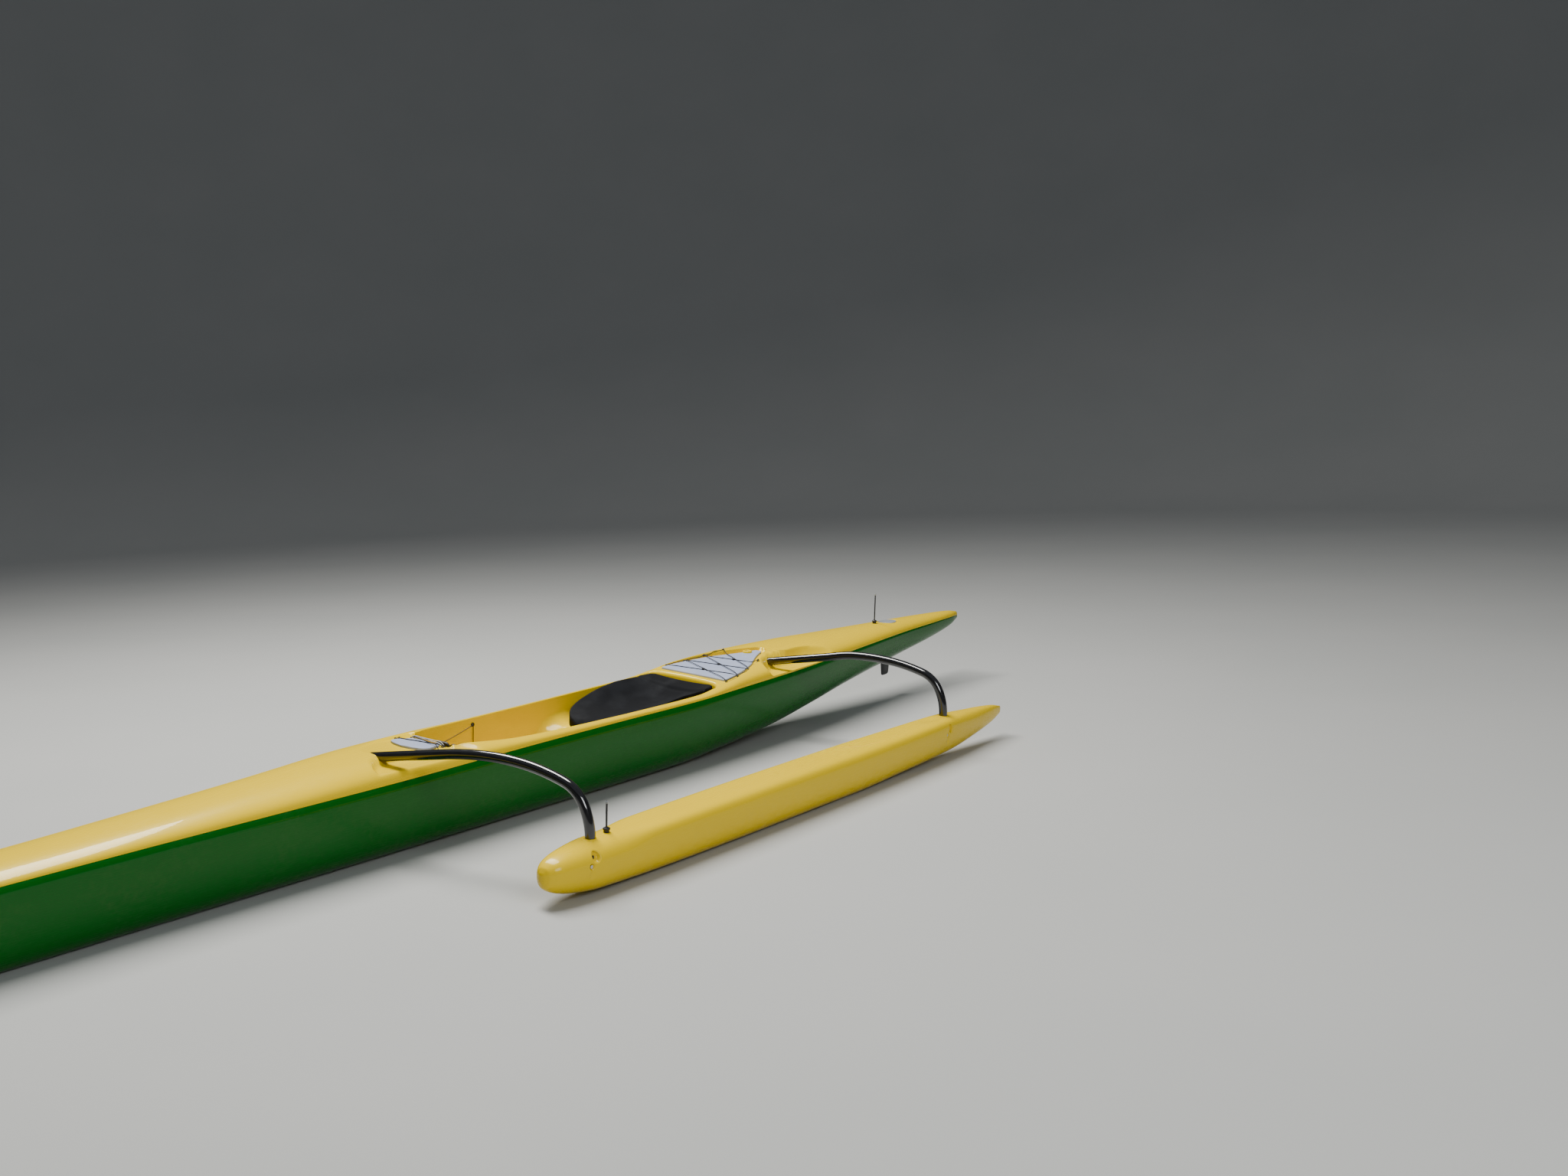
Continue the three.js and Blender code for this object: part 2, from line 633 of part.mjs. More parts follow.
// Grommets where the steering lines enter the footwell walls, and the drain in its floor
const GROMMET = { x: -52, z: 277, radius: 7, thickness: 4, standOff: 0.5 };
const grommetWall = tubRim(GROMMET.x + GROMMET.radius) - GAP;
for (const [side, name] of [[1, 'left'], [-1, 'right']]) {
  const disc = new THREE.CylinderGeometry(GROMMET.radius, GROMMET.radius, GROMMET.thickness, 16);
  const mesh = addPiece(`${name}_line_grommet`, BLACK_PLASTIC, disc);
  mesh.position.set(GROMMET.x, side * (grommetWall - GROMMET.thickness / 2 - GROMMET.standOff), GROMMET.z);
}
const DRAIN = { x: -190, radius: 17, height: 4 };
const drain = upright(DRAIN.radius, railLow, railLow + DRAIN.height, DRAIN.x, 0);
addPiece('footwell_drain', BLACK_PLASTIC, drain);

// Rudder: a tube through the stern, a post in it and a blade under the keel
const RUDDER_TUBE_ENDS = { aboveKeel: 1.5, aboveWell: 2 };
const tubeLow = keelZ(RUDDER_X) + RUDDER_TUBE_ENDS.aboveKeel;
const tubeHigh = hatchWellFloor + RUDDER_TUBE_ENDS.aboveWell;
const tubeOuter = solid(upright(RUDDER_TUBE_RADIUS, tubeLow, tubeHigh, RUDDER_X, 0, 24));
const tubeInner = solid(upright(POST_BORE_RADIUS, 0, BORE_TOP, RUDDER_X, 0, 24));
addPiece('rudder_tube', GREY_PLASTIC, geometryOf(tubeOuter.subtract(tubeInner)));

const BLADE = {
  ahead: 28, chord: 76, tipChord: 56, tipSweep: 10, thickness: 13, tipThickness: 7, postDepth: 42,
};
// Half section of the blade: share of the chord from its front edge, share of the half thickness
const BLADE_OUTLINE = [
  [0, 0], [0.03, 0.5], [0.1, 0.82], [0.25, 1], [0.45, 0.93], [0.7, 0.6], [0.9, 0.24], [1, 0.06],
];

function bladeRing(t) {
  const chord = BLADE.chord + (BLADE.tipChord - BLADE.chord) * t;
  const half = (BLADE.thickness + (BLADE.tipThickness - BLADE.thickness) * t) / 2;
  const lead = RUDDER_X + BLADE.ahead - BLADE.tipSweep * t;
  const otherSide = BLADE_OUTLINE.slice(1).reverse();
  const around = [...BLADE_OUTLINE, ...otherSide.map(([along, out]) => [along, -out])];
  return around.map(([along, out]) => {
    const x = lead - along * chord;
    const high = keelZ(x) - RUDDER_CLEARANCE;
    return [x, out * half, high + (RUDDER_TIP_Z - high) * t];
  });
}
const bladeTop = keelZ(RUDDER_X) - RUDDER_CLEARANCE;
const blade = solid(skin([0, 0.35, 0.7, 1].map(bladeRing)));
const slotLow = bladeTop - BLADE.postDepth;
const postSlot = solid(upright(POST_RADIUS + GAP, slotLow, BORE_TOP, RUDDER_X, 0, 24));
addPiece('rudder_blade', BLACK_PLASTIC, geometryOf(blade.subtract(postSlot)));
const POST_HEAD = { radius: 8, height: 5, clearance: 0.6 };
const headLow = tubeHigh + POST_HEAD.clearance;
const headHigh = headLow + POST_HEAD.height;
const post = solid(upright(POST_RADIUS, slotLow + GAP, headLow + POST_HEAD.height / 2, RUDDER_X, 0, 24));
const postHead = solid(upright(POST_HEAD.radius, headLow, headHigh, RUDDER_X, 0, 24));
addPiece('rudder_post', STEEL, geometryOf(post.add(postHead)));

// Float
const FRONT_LEG_X = frontBeamPath[frontBeamPath.length - 1].x;
const REAR_LEG_X = rearBeamPath[rearBeamPath.length - 1].x;
const AMA_VENT_X = FRONT_LEG_X - 66;
const amaTable = AMA_LINES.map(([x, ...sizes]) => [FRONT_LEG_X + x, ...sizes]);
const amaHalf = lineThrough(amaTable, 1);
const amaBottom = lineThrough(amaTable, 2);
const amaTop = lineThrough(amaTable, 3);
const AMA_STEPS = 20;
const AMA_SECTION = { wideAt: 0.56, topPower: 0.72, bottomPower: 0.86 }; // powers below 1 are fuller

function amaRing(x) {
  const half = amaHalf(x);
  const low = amaBottom(x);
  const high = amaTop(x);
  const middle = low + (high - low) * AMA_SECTION.wideAt;
  return Array.from({ length: AMA_STEPS }, (_, i) => {
    const angle = (2 * Math.PI * (i + 0.5)) / AMA_STEPS;
    const sin = Math.sin(angle);
    const cos = Math.cos(angle);
    const power = sin > 0 ? AMA_SECTION.topPower : AMA_SECTION.bottomPower;
    const reach = sin > 0 ? high - middle : middle - low;
    const edge = Math.sin(Math.PI / 2 - Math.PI / AMA_STEPS) ** power;
    const z = middle + (reach * Math.sign(sin) * Math.abs(sin) ** power) / edge;
    return [x, AMA_Y + half * Math.sign(cos) * Math.abs(cos) ** power, z];
  });
}

// A round solid lying along Y
function sideways(radius, from, to, x, z, sides = 20) {
  const geometry = new THREE.CylinderGeometry(radius, radius, to - from, sides);
  geometry.translate(x, (from + to) / 2, z);
  return geometry;
}

// A bolt and a round access recess above it, in the float's outer side ahead of each leg
const BOLT = { ahead: 60, z: 174, seat: 7, head: 5.5, clearance: 1.5, headLength: 4, shank: 3, reach: 2 };
const RECESS = { ahead: 40, z: 196, radius: 13, depth: 13 };
const OUTSIDE = 20; // how far a cut reaches beyond the float's side
const amaXs = stations(amaTable[0][0], amaTable[amaTable.length - 1][0], 30);
let ama = solid(skin(amaXs.map(amaRing))).subtract(ground);
ama = ama.subtract(beamClearance(frontBeamPath)).subtract(beamClearance(rearBeamPath));
const amaVentSeat = amaTop(AMA_VENT_X) - VENT.sink;
ama = ama.subtract(solid(upright(VENT.radius + GAP, amaVentSeat, BORE_TOP, AMA_VENT_X, AMA_Y)));
for (const [name, x] of [['front', FRONT_LEG_X], ['rear', REAR_LEG_X]]) {
  const boltX = x + BOLT.ahead;
  const recessX = x + RECESS.ahead;
  const side = AMA_Y + amaHalf(boltX);
  const seat = side - BOLT.seat;
  const tip = AMA_Y + BEAM_RADIUS + BOLT.reach;
  const recessFloor = side - RECESS.depth;
  ama = ama.subtract(solid(sideways(RECESS.radius, recessFloor, side + OUTSIDE, recessX, RECESS.z)));
  ama = ama.subtract(solid(sideways(BOLT.head + BOLT.clearance, seat, side + OUTSIDE, boltX, BOLT.z)));
  ama = ama.subtract(solid(sideways(BOLT.shank + GAP, tip, side, boltX, BOLT.z)));
  const head = solid(sideways(BOLT.head, seat + GAP, seat + BOLT.headLength, boltX, BOLT.z, 6));
  const shank = solid(sideways(BOLT.shank, tip + GAP, seat + 1, boltX, BOLT.z));
  addPiece(`${name}_ama_bolt`, STEEL, geometryOf(head.add(shank)));
}
addPiece('ama', YELLOW, geometryOf(ama));

function vent(name, x, y, surface, tubeHeight) {
  const profile = [
    [0, 0],
    [VENT.radius, 0],
    [VENT.radius, VENT.flangeLow - 1],
    [VENT.flange, VENT.flangeLow],
    [VENT.flange, VENT.flangeHigh],
    [VENT.topRadius, VENT.height],
    [0, VENT.height],
  ].map(([r, z]) => new THREE.Vector2(r, z));
  const low = surface - VENT.sink + GAP;
  const base = new THREE.LatheGeometry(profile, 20);
  base.rotateX(Math.PI / 2);
  base.translate(x, y, low);
  addPiece(`${name}_vent_base`, BLACK_PLASTIC, geometryOf(solid(base)));
  const foot = low + VENT.height + GAP;
  const tube = upright(VENT.tubeRadius, foot, foot + tubeHeight, x, y, 12);
  addPiece(`${name}_vent_tube`, BLACK_PLASTIC, tube);
}
vent('ama', AMA_VENT_X, AMA_Y, amaTop(AMA_VENT_X), VENT.amaTubeHeight);
vent('hull', HULL_VENT_X, 0, deckZ(HULL_VENT_X), VENT.hullTubeHeight);

// Heeled on to the ground, with the middle of the footprint at the origin
canoe.rotation.x = -heel;
canoe.position.z = -GROUND_RISE * Math.cos(heel);
canoe.updateMatrixWorld(true);
const footprint = new THREE.Box3().setFromObject(canoe, true);
canoe.position.y = -(footprint.min.y + footprint.max.y) / 2;
canoe.updateMatrixWorld(true);

export default group;
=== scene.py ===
"""A single-seat outrigger canoe lying on a pale studio floor.

The canoe is drawn upright about its hull's centreline, in millimetres: +X to the bow, +Y to port,
the float's side, and z = 0 at the keel's lowest line. Each finished mesh is then heeled to port and
put in the shared frame, in metres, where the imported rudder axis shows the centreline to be.
"""

from __future__ import annotations

import json
import logging
import math
from dataclasses import dataclass
from enum import Enum
from typing import Any, Callable, ClassVar, Mapping, Sequence

import bmesh
import bpy
import numpy as np
from mathutils import Matrix

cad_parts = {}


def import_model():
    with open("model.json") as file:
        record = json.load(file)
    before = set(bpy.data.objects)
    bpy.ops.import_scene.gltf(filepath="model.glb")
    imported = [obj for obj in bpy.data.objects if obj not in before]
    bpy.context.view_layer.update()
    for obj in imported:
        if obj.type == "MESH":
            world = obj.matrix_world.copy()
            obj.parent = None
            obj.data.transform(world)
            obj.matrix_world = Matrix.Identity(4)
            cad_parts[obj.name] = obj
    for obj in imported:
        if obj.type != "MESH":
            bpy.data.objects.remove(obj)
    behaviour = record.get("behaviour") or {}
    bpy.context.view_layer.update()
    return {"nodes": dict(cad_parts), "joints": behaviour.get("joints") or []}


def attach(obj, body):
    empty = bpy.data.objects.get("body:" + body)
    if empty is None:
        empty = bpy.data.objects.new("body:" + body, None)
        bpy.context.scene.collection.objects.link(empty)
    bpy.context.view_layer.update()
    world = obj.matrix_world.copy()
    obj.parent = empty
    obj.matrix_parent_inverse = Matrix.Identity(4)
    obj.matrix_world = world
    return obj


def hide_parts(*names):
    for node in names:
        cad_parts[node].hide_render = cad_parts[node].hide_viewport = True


log = logging.getLogger("canoe")
Array = np.ndarray
Numbers = Sequence[float]

MM = 0.001
GROUND_RISE = 0.3  # the ground at the centreline, above the keel line
FRONT_BEAM_X = 510.0
REAR_BEAM_X = -1390.0
TIP_REACH = 3.0  # how far the mouldings' rounded ends reach beyond their last sections
TIP_SHARES = (0.7, 0.0)  # size of each row of a rounded end, as a share of the last section

# Columns: x, half width at the seam, seam height, keel height, deck height on the centreline,
# squareness of the deck's shoulders (2 is an ellipse).
HULL_LINES = (
    (3000, 5, 240, 128, 256, 2.0),
    (2988, 11, 240, 76, 263, 2.0),
    (2960, 18, 241, 50, 268, 2.0),
    (2890, 29, 242, 38, 272, 2.0),
    (2700, 49, 244, 30, 276, 2.0),
    (2350, 82, 249, 15, 278, 2.0),
    (2000, 108, 252, 4, 280, 2.0),
    (1600, 121, 256, 0, 287, 2.1),
    (1290, 132, 259, 0, 297, 2.2),
    (900, 149, 262, 0, 312, 2.3),
    (510, 167, 266, 0, 327, 2.6),
    (250, 176, 271, 0, 322, 2.9),
    (0, 184, 276, 0, 309, 3.4),
    (-400, 196, 280, 0, 303, 3.6),
    (-850, 208, 282, 3, 302, 3.4),
    (-1000, 206, 285, 12, 320, 3.2),
    (-1130, 204, 288, 22, 340, 3.0),
    (-1390, 196, 292, 46, 354, 2.6),
    (-1700, 170, 295, 88, 356, 2.3),
    (-1930, 143, 297, 122, 351, 2.1),
    (-2450, 80, 298, 184, 338, 2.0),
    (-2741, 54, 297, 220, 327, 2.0),
    (-2930, 30, 294, 252, 317, 2.0),
    (-3000, 12, 288, 272, 306, 2.0),
)

# Columns: x, half width at the rim, half width at the floor, floor height.
TUB_LINES = (
    (262, 92, 52, 240),
    (236, 99, 66, 98),
    (184, 117, 80, 67),
    (60, 142, 92, 67),
    (-60, 154, 98, 68),
    (-260, 166, 108, 68),
    (-350, 170, 118, 120),
    (-410, 173, 132, 186),
    (-480, 176, 144, 212),
    (-780, 183, 152, 206),
    (-940, 176, 146, 218),
    (-985, 166, 138, 244),
)
TUB_FORE = float(TUB_LINES[0][0])
TUB_AFT = float(TUB_LINES[-1][0])

# Columns: x, half width, top on the centreline, top at its sides.
SEAT_PAD_LINES = (
    (-436, 46, 222, 226),
    (-460, 92, 240, 246),
    (-512, 134, 250, 262),
    (-600, 160, 251, 280),
    (-700, 170, 248, 298),
    (-800, 173, 247, 307),
    (-880, 170, 257, 307),
    (-938, 163, 281, 304),
    (-981, 154, 301, 305),
)

# Float lines from its front leg. Columns: x, half width, bottom, top.
FLOAT_LINES = (
    (190, 10, 146, 174),
    (182, 26, 128, 190),
    (152, 46, 110, 206),
    (90, 62, 94, 219),
    (0, 73, 83, 227),
    (-350, 79, 74, 231),
    (-700, 80, 72, 232),
    (-1250, 78, 72, 231),
    (-1550, 71, 79, 229),
    (-1900, 58, 92, 227),
    (-2110, 38, 114, 217),
    (-2260, 18, 138, 203),
    (-2328, 5, 158, 188),
)


class Body(Enum):
    """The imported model's moving bodies."""

    HULL = "hull"
    RUDDER = "rudder"


class Slot(Enum):
    """The record's material slots."""

    GREEN = "green_gelcoat"
    YELLOW = "yellow_gelcoat"
    TUBE = "black_tube"
    BLACK_FOAM = "black_foam"
    GREY_FOAM = "grey_foam"
    BLACK_PLASTIC = "black_plastic"
    GREY_PLASTIC = "grey_plastic"
    STEEL = "steel"


# Numbers and curves


def smoothstep(t: Array | float) -> Array:
    """An even ramp with soft ends: 3t^2 - 2t^3, held at 0 and 1 outside.

    Args:
        t: where on the ramp, 0 to 1.

    Returns:
        The ramp's height there.
    """
    held = np.clip(t, 0.0, 1.0)
    return held * held * (3.0 - 2.0 * held)


def smooth_min(a: Array, b: Array, width: float) -> Array:
    """The lower of two heights with their crease rounded over a width.

    The crease is lowered by a quarter of the width times the square of how deep in it a point is.

    Args:
        a: one height.
        b: the other height.
        width: how far apart the heights may be and still blend.

    Returns:
        The blended height.
    """
    deep = np.maximum(width - np.abs(a - b), 0.0) / width
    return np.minimum(a, b) - deep * deep * width / 4.0


def spans(*segments: tuple[float, float, float]) -> Array:
    """Stations along several stretches, each with its own spacing.

    Args:
        segments: start, end and rough spacing of each stretch, in order.

    Returns:
        Every station once, in order.
    """
    parts = []
    for start, end, step in segments:
        count = max(int(round(abs(end - start) / step)), 1)
        parts.append(np.linspace(start, end, count, endpoint=False))
    return np.concatenate([*parts, [segments[-1][1]]])


class Line:
    """A smooth curve through a table's rows that never overshoots them.

    Each stretch is a cubic, and a row's slope is the harmonic mean of its neighbours' slopes, or
    level where they differ in sign.
    """

    def __init__(self, rows: Sequence[Numbers], column: int) -> None:
        """Reads one column.

        Args:
            rows: the table, with x in its first column.
            column: which column holds the curve's height.
        """
        table = np.array(sorted(rows), float)
        self.x, self.y = table[:, 0], table[:, column]
        slope = np.diff(self.y) / np.diff(self.x)
        before, after = slope[:-1], slope[1:]
        same = before * after > 0
        total = np.where(same, before + after, 1.0)
        inner = np.where(same, 2 * before * after / total, 0.0)
        self.slope = np.concatenate([slope[:1], inner, slope[-1:]])

    def __call__(self, x: Array | float) -> Array:
        """The curve's height.

        Args:
            x: where along it.

        Returns:
            The height there, held at the ends.
        """
        x = np.asarray(x, float)
        i = np.clip(np.searchsorted(self.x, x, side="right") - 1, 0, len(self.x) - 2)
        wide = self.x[i + 1] - self.x[i]
        t = np.clip((x - self.x[i]) / wide, 0.0, 1.0)
        start = self.y[i] * (1 + 2 * t) * (1 - t) ** 2 + wide * self.slope[i] * t * (1 - t) ** 2
        end = self.y[i + 1] * t * t * (3 - 2 * t) + wide * self.slope[i + 1] * t * t * (t - 1)
        return start + end


def bezier_half(start: tuple[float, float], curves: Sequence[Numbers]) -> Callable[[Array], Array]:
    """Half width along x of an outline drawn as quadratic curves.

    Each curve is (1-t)^2 of its start, 2t(1-t) of its control point and t^2 of its end.

    Args:
        start: x and half width at the first point.
        curves: control x, control y, end x and end y of each curve.

    Returns:
        A function from x to half width, 0 beyond the outline.
    """
    t = np.linspace(0.0, 1.0, 60)[:, None]
    points = []
    last = np.array(start, float)
    for cx, cy, ex, ey in curves:
        control, end = np.array([cx, cy]), np.array([ex, ey])
        points.append((1 - t) ** 2 * last + 2 * t * (1 - t) * control + t * t * end)
        last = end
    line = np.concatenate(points)
    line = line[np.argsort(line[:, 0], kind="stable")]
    return lambda x: np.interp(x, line[:, 0], line[:, 1])


@dataclass(frozen=True)
class Outline:
    """A closed plan outline, the same on both sides of the centreline, with rounded corners.

    Attributes:
        half: half width along x.
        low: its aft end.
        high: its fore end.
        corner: radius of its corners.
    """

    half: Callable[[Array], Array]
    low: float
    high: float
    corner: float

    def end_distance(self, x: Array) -> Array:
        """How far x is inside the nearer end, negative outside."""
        return np.minimum(self.high - x, x - self.low)

    def inside(self, x: Array, y: Array) -> Array:
        """How far a point is inside the outline, negative outside.

        It is the nearer of the side and the end, or in a corner the corner's radius less the
        distance from the corner's centre.

        Args:
            x: stations.
            y: distances from the centreline.

        Returns:
            The distance in millimetres.
        """
        side = self.half(x) - np.abs(y)
        end = self.end_distance(x)
        r = self.corner
        round_off = r - np.hypot(r - side, r - end)
        return np.where((side < r) & (end < r), round_off, np.minimum(side, end))

    def half_at(self, x: Array) -> Array:
        """Half width of the outline at x, its rounded corners counted.

        Args:
            x: stations.

        Returns:
            The half width, that of the end's straight part beyond the ends.
        """
        r = self.corner
        end = np.clip(self.end_distance(x), 0.0, r)
        return np.maximum(self.half(x) - r + np.sqrt(r * r - (r - end) ** 2), 0.0)

    def plan(self, rows: int, columns: int) -> tuple[Array, Array]:
        """Points over the outline, closer together at its ends and sides.

        Args:
            rows: stations along it.
            columns: points across.

        Returns:
            Their x and their y, each rows by columns.
        """
        t = (1 - np.cos(np.linspace(0.0, math.pi, rows))) / 2
        x = (self.low + (self.high - self.low) * t)[:, None]
        u = np.sin(np.linspace(-math.pi / 2, math.pi / 2, columns))[None, :]
        y = self.half_at(x) * u
        return np.broadcast_to(x, y.shape), y


# The shared frame


@dataclass(frozen=True)
class Placing:
    """Turns the upright canoe's millimetres into the shared frame's metres.

    Attributes:
        heel: how far the canoe leans to port, in radians.
        shift_y: where its centreline's foot lies.
        shift_z: how far its keel line lies below the floor.
    """

    heel: float
    shift_y: float
    shift_z: float

    @classmethod
    def from_rudder(cls, joint: Mapping[str, Any]) -> Placing:
        """Reads the heel and the centreline from the rudder's axis, which is upright in the canoe.

        Args:
            joint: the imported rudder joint.

        Returns:
            The placing of everything that is drawn upright.
        """
        heel = math.atan2(joint["axis"][1], joint["axis"][2])
        shift_z = -GROUND_RISE * MM * math.cos(heel)
        up = (joint["pos_m"][2] - shift_z) / math.cos(heel)
        return cls(heel, joint["pos_m"][1] - up * math.sin(heel), shift_z)

    def points(self, upright: Array) -> Array:
        """Heels points about X and moves them.

        Args:
            upright: points of the upright canoe, in millimetres, x y z in the last axis.

        Returns:
            The points in the shared frame, in metres, one to a row.
        """
        x, y, z = np.moveaxis(upright.reshape(-1, 3) * MM, -1, 0)
        c, s = math.cos(self.heel), math.sin(self.heel)
        return np.stack([x, y * c + z * s + self.shift_y, -y * s + z * c + self.shift_z], -1)


# Materials


class Link:
    """A node's output, on which Python's operators add Math nodes."""

    def __init__(self, graph: Graph, socket: bpy.types.NodeSocket) -> None:
        """Holds the socket.

        Args:
            graph: the material's graph.
            socket: the output.
        """
        self.graph = graph
        self.socket = socket

    def _math(self, operation: str, first: Link | float, second: Link | float) -> Link:
        """One Math node.

        Args:
            operation: the node's operation.
            first: its first value.
            second: its second value.

        Returns:
            The node's output.
        """
        return self.graph.node("ShaderNodeMath", {"operation": operation}, {0: first, 1: second})

    def __add__(self, other: Link | float) -> Link:
        """Sum."""
        return self._math("ADD", self, other)

    __radd__ = __add__

    def __sub__(self, other: Link | float) -> Link:
        """Difference."""
        return self._math("SUBTRACT", self, other)

    def __rsub__(self, other: float) -> Link:
        """Difference from a number."""
        return self._math("SUBTRACT", other, self)

    def __mul__(self, other: Link | float) -> Link:
        """Product."""
        return self._math("MULTIPLY", self, other)

    __rmul__ = __mul__


class Graph:
    """One material's node tree."""

    def __init__(self, name: str) -> None:
        """Starts an empty material.

        Args:
            name: the material's name.
        """
        self.material = bpy.data.materials.new(name)
        self.material.use_nodes = True
        self.tree = self.material.node_tree
        self.tree.nodes.clear()

    def node(
        self,
        kind: str,
        settings: Mapping[str, Any] | None = None,
        inputs: Mapping[str | int, Any] | None = None,
        output: int = 0,
    ) -> Link:
        """Adds any node.

        Args:
            kind: the node's type.
            settings: its settings, set first; "stops" holds a ramp's places and greys.
            inputs: values or links of its sockets, by name or number.
            output: which output to hand back.

        Returns:
            That output.
        """
        made = self.tree.nodes.new(kind)
        for key, value in (settings or {}).items():
            if key == "stops":
                for element, (place, grey) in zip(made.color_ramp.elements, value, strict=True):
                    element.position = place
                    element.color = (grey, grey, grey, 1.0)
            else:
                setattr(made, key, value)
        for key, value in (inputs or {}).items():
            if isinstance(value, Link):
                self.tree.links.new(value.socket, made.inputs[key])
            else:
                made.inputs[key].default_value = value
        return Link(self, made.outputs[output]) if made.outputs else Link(self, None)

    def noise(self, at: Link, scale: float, detail: float = 3.0) -> Link:
        """Soft noise, 0 to 1 about a half.

        Args:
            at: where it is read.
            scale: how fine it is.
            detail: how many finer layers it has.

        Returns:
            The noise's value.
        """
        return self.node("ShaderNodeTexNoise", {}, {"Vector": at, "Scale": scale, "Detail": detail})

    def ramp(self, value: Link, low: float, high: float) -> Link:
        """Stretches a value so that low becomes 0 and high becomes 1, held outside."""
        stops = {"stops": ((low, 0.0), (high, 1.0))}
        return self.node("ShaderNodeValToRGB", stops, {0: value})

    def blend(self, first: Any, second: Any, factor: Link | float) -> Link:
        """A colour between two colours.

        Args:
            first: the colour at factor 0.
            second: the colour at factor 1.
            factor: how far between them.

        Returns:
            The colour.
        """
        colours = {0: factor, 6: first, 7: second}
        return self.node("ShaderNodeMix", {"data_type": "RGBA"}, colours, output=2)

    def stretched(self, at: Link, scale: Numbers) -> Link:
        """Coordinates multiplied along each axis."""
        return self.node("ShaderNodeVectorMath", {"operation": "MULTIPLY"}, {0: at, 1: scale})

    def bump(self, height: Link, distance: float, strength: float = 1.0) -> Link:
        """A normal tilted by a height, given in metres for height 1."""
        inputs = {"Height": height, "Distance": distance, "Strength": strength}
        return self.node("ShaderNodeBump", {}, inputs)

    def finish(self, **values: Any) -> bpy.types.Material:
        """Ends the graph in one Principled shader.

        Args:
            values: the shader's sockets, with underscores for their spaces.

        Returns:
            The material.
        """
        sockets = {key.replace("_", " "): value for key, value in values.items()}
        shader = self.node("ShaderNodeBsdfPrincipled", {}, sockets)
        self.node("ShaderNodeOutputMaterial", {}, {"Surface": shader})
        return self.material


@dataclass(frozen=True)
class Colour:
    """A linear colour.

    Attributes:
        red: 0 to 1.
        green: 0 to 1.
        blue: 0 to 1.
    """

    red: float
    green: float
    blue: float

    def rgba(self, share: float = 1.0) -> tuple[float, float, float, float]:
        """The colour at a share of its brightness, opaque."""
        return (self.red * share, self.green * share, self.blue * share, 1.0)


@dataclass(frozen=True)
class Gelcoat:
    """Polished gelcoat: one colour with faint cloudiness, fine polishing haze and a film of dust.

    Attributes:
        name: the material's name.
        colour: its colour.
        dust: the dust's colour.
        haze: roughness that the haze adds.
    """

    name: str
    colour: Colour
    dust: Colour = Colour(0.42, 0.38, 0.28)
    haze: float = 0.1

    def material(self) -> bpy.types.Material:
        """Builds the material.

        Returns:
            Gloss under a clear coat, its colour blended to dust where two noises meet.
        """
        g = Graph(self.name)
        at = g.node("ShaderNodeTexCoord", output=3)
        cloud = g.noise(at, 1.7)
        fine = g.noise(at, 60.0, 6.0)
        film = g.ramp(g.noise(at, 5.0, 8.0) * fine, 0.24, 0.42)
        base = g.blend(self.colour.rgba(0.93), self.colour.rgba(1.05), cloud)
        base = g.blend(base, self.dust.rgba(), film * 0.015)
        scuffs = g.noise(g.stretched(at, (4.0, 60.0, 60.0)), 6.0, 5.0)
        rough = 0.24 + self.haze * g.ramp(scuffs, 0.45, 0.75) + 0.04 * film
        skin = g.bump(g.noise(at, 180.0, 2.0), 0.00004)
        return g.finish(
            Base_Color=base, Roughness=rough, Normal=skin, Coat_Weight=0.3, Coat_Roughness=0.03, IOR=1.18
        )


@dataclass(frozen=True)
class Lacquer:
    """Black tube under clear lacquer, with the faint lengthwise lay of its fibres.

    Attributes:
        name: the material's name.
        colour: the fibres' colour.
    """

    name: str
    colour: Colour

    def material(self) -> bpy.types.Material:
        """Builds the material.

        Returns:
            A deep black with slightly lighter streaks under the coat.
        """
        g = Graph(self.name)
        at = g.node("ShaderNodeTexCoord", output=3)
        streaks = g.noise(g.stretched(at, (900.0, 40.0, 400.0)), 1.0, 2.0)
        base = g.blend(self.colour.rgba(), self.colour.rgba(3.0), g.ramp(streaks, 0.5, 0.8))
        worn = g.ramp(g.noise(at, 26.0, 7.0), 0.5, 0.8)
        skin = g.bump(g.noise(at, 240.0, 2.0), 0.00003)
        return g.finish(
            Base_Color=base, Roughness=0.12 + 0.16 * worn, Normal=skin, Coat_Weight=1.0, Coat_Roughness=0.05
        )


@dataclass(frozen=True)
class Foam:
    """Closed-cell foam: matt, with pores, a fine speckle and scuffed high spots.

    Attributes:
        name: the material's name.
        colour: its colour.
        scuff: the colour where it is rubbed.
        pores: how deep the pores are, in metres.
    """

    name: str
    colour: Colour
    scuff: Colour
    pores: float

    def material(self) -> bpy.types.Material:
        """Builds the material.

        Returns:
            A matt finish whose pores are a cell pattern and whose scuffs are broad noise.
        """
        g = Graph(self.name)
        at = g.node("ShaderNodeTexCoord", output=3)
        cells = g.node("ShaderNodeTexVoronoi", {}, {"Vector": at, "Scale": 420.0})
        grain = g.noise(at, 700.0, 3.0)
        speckle = g.blend(self.colour.rgba(0.82), self.colour.rgba(1.12), grain)
        rubbed = g.ramp(g.noise(at, 9.0, 6.0), 0.48, 0.75)
        base = g.blend(speckle, self.scuff.rgba(), rubbed * 0.35)
        relief = g.ramp(cells, 0.0, 0.35) * 0.6 + grain * 0.4
        rough = 0.86 - 0.14 * rubbed
        return g.finish(Base_Color=base, Roughness=rough, Normal=g.bump(relief, self.pores), IOR=1.22)


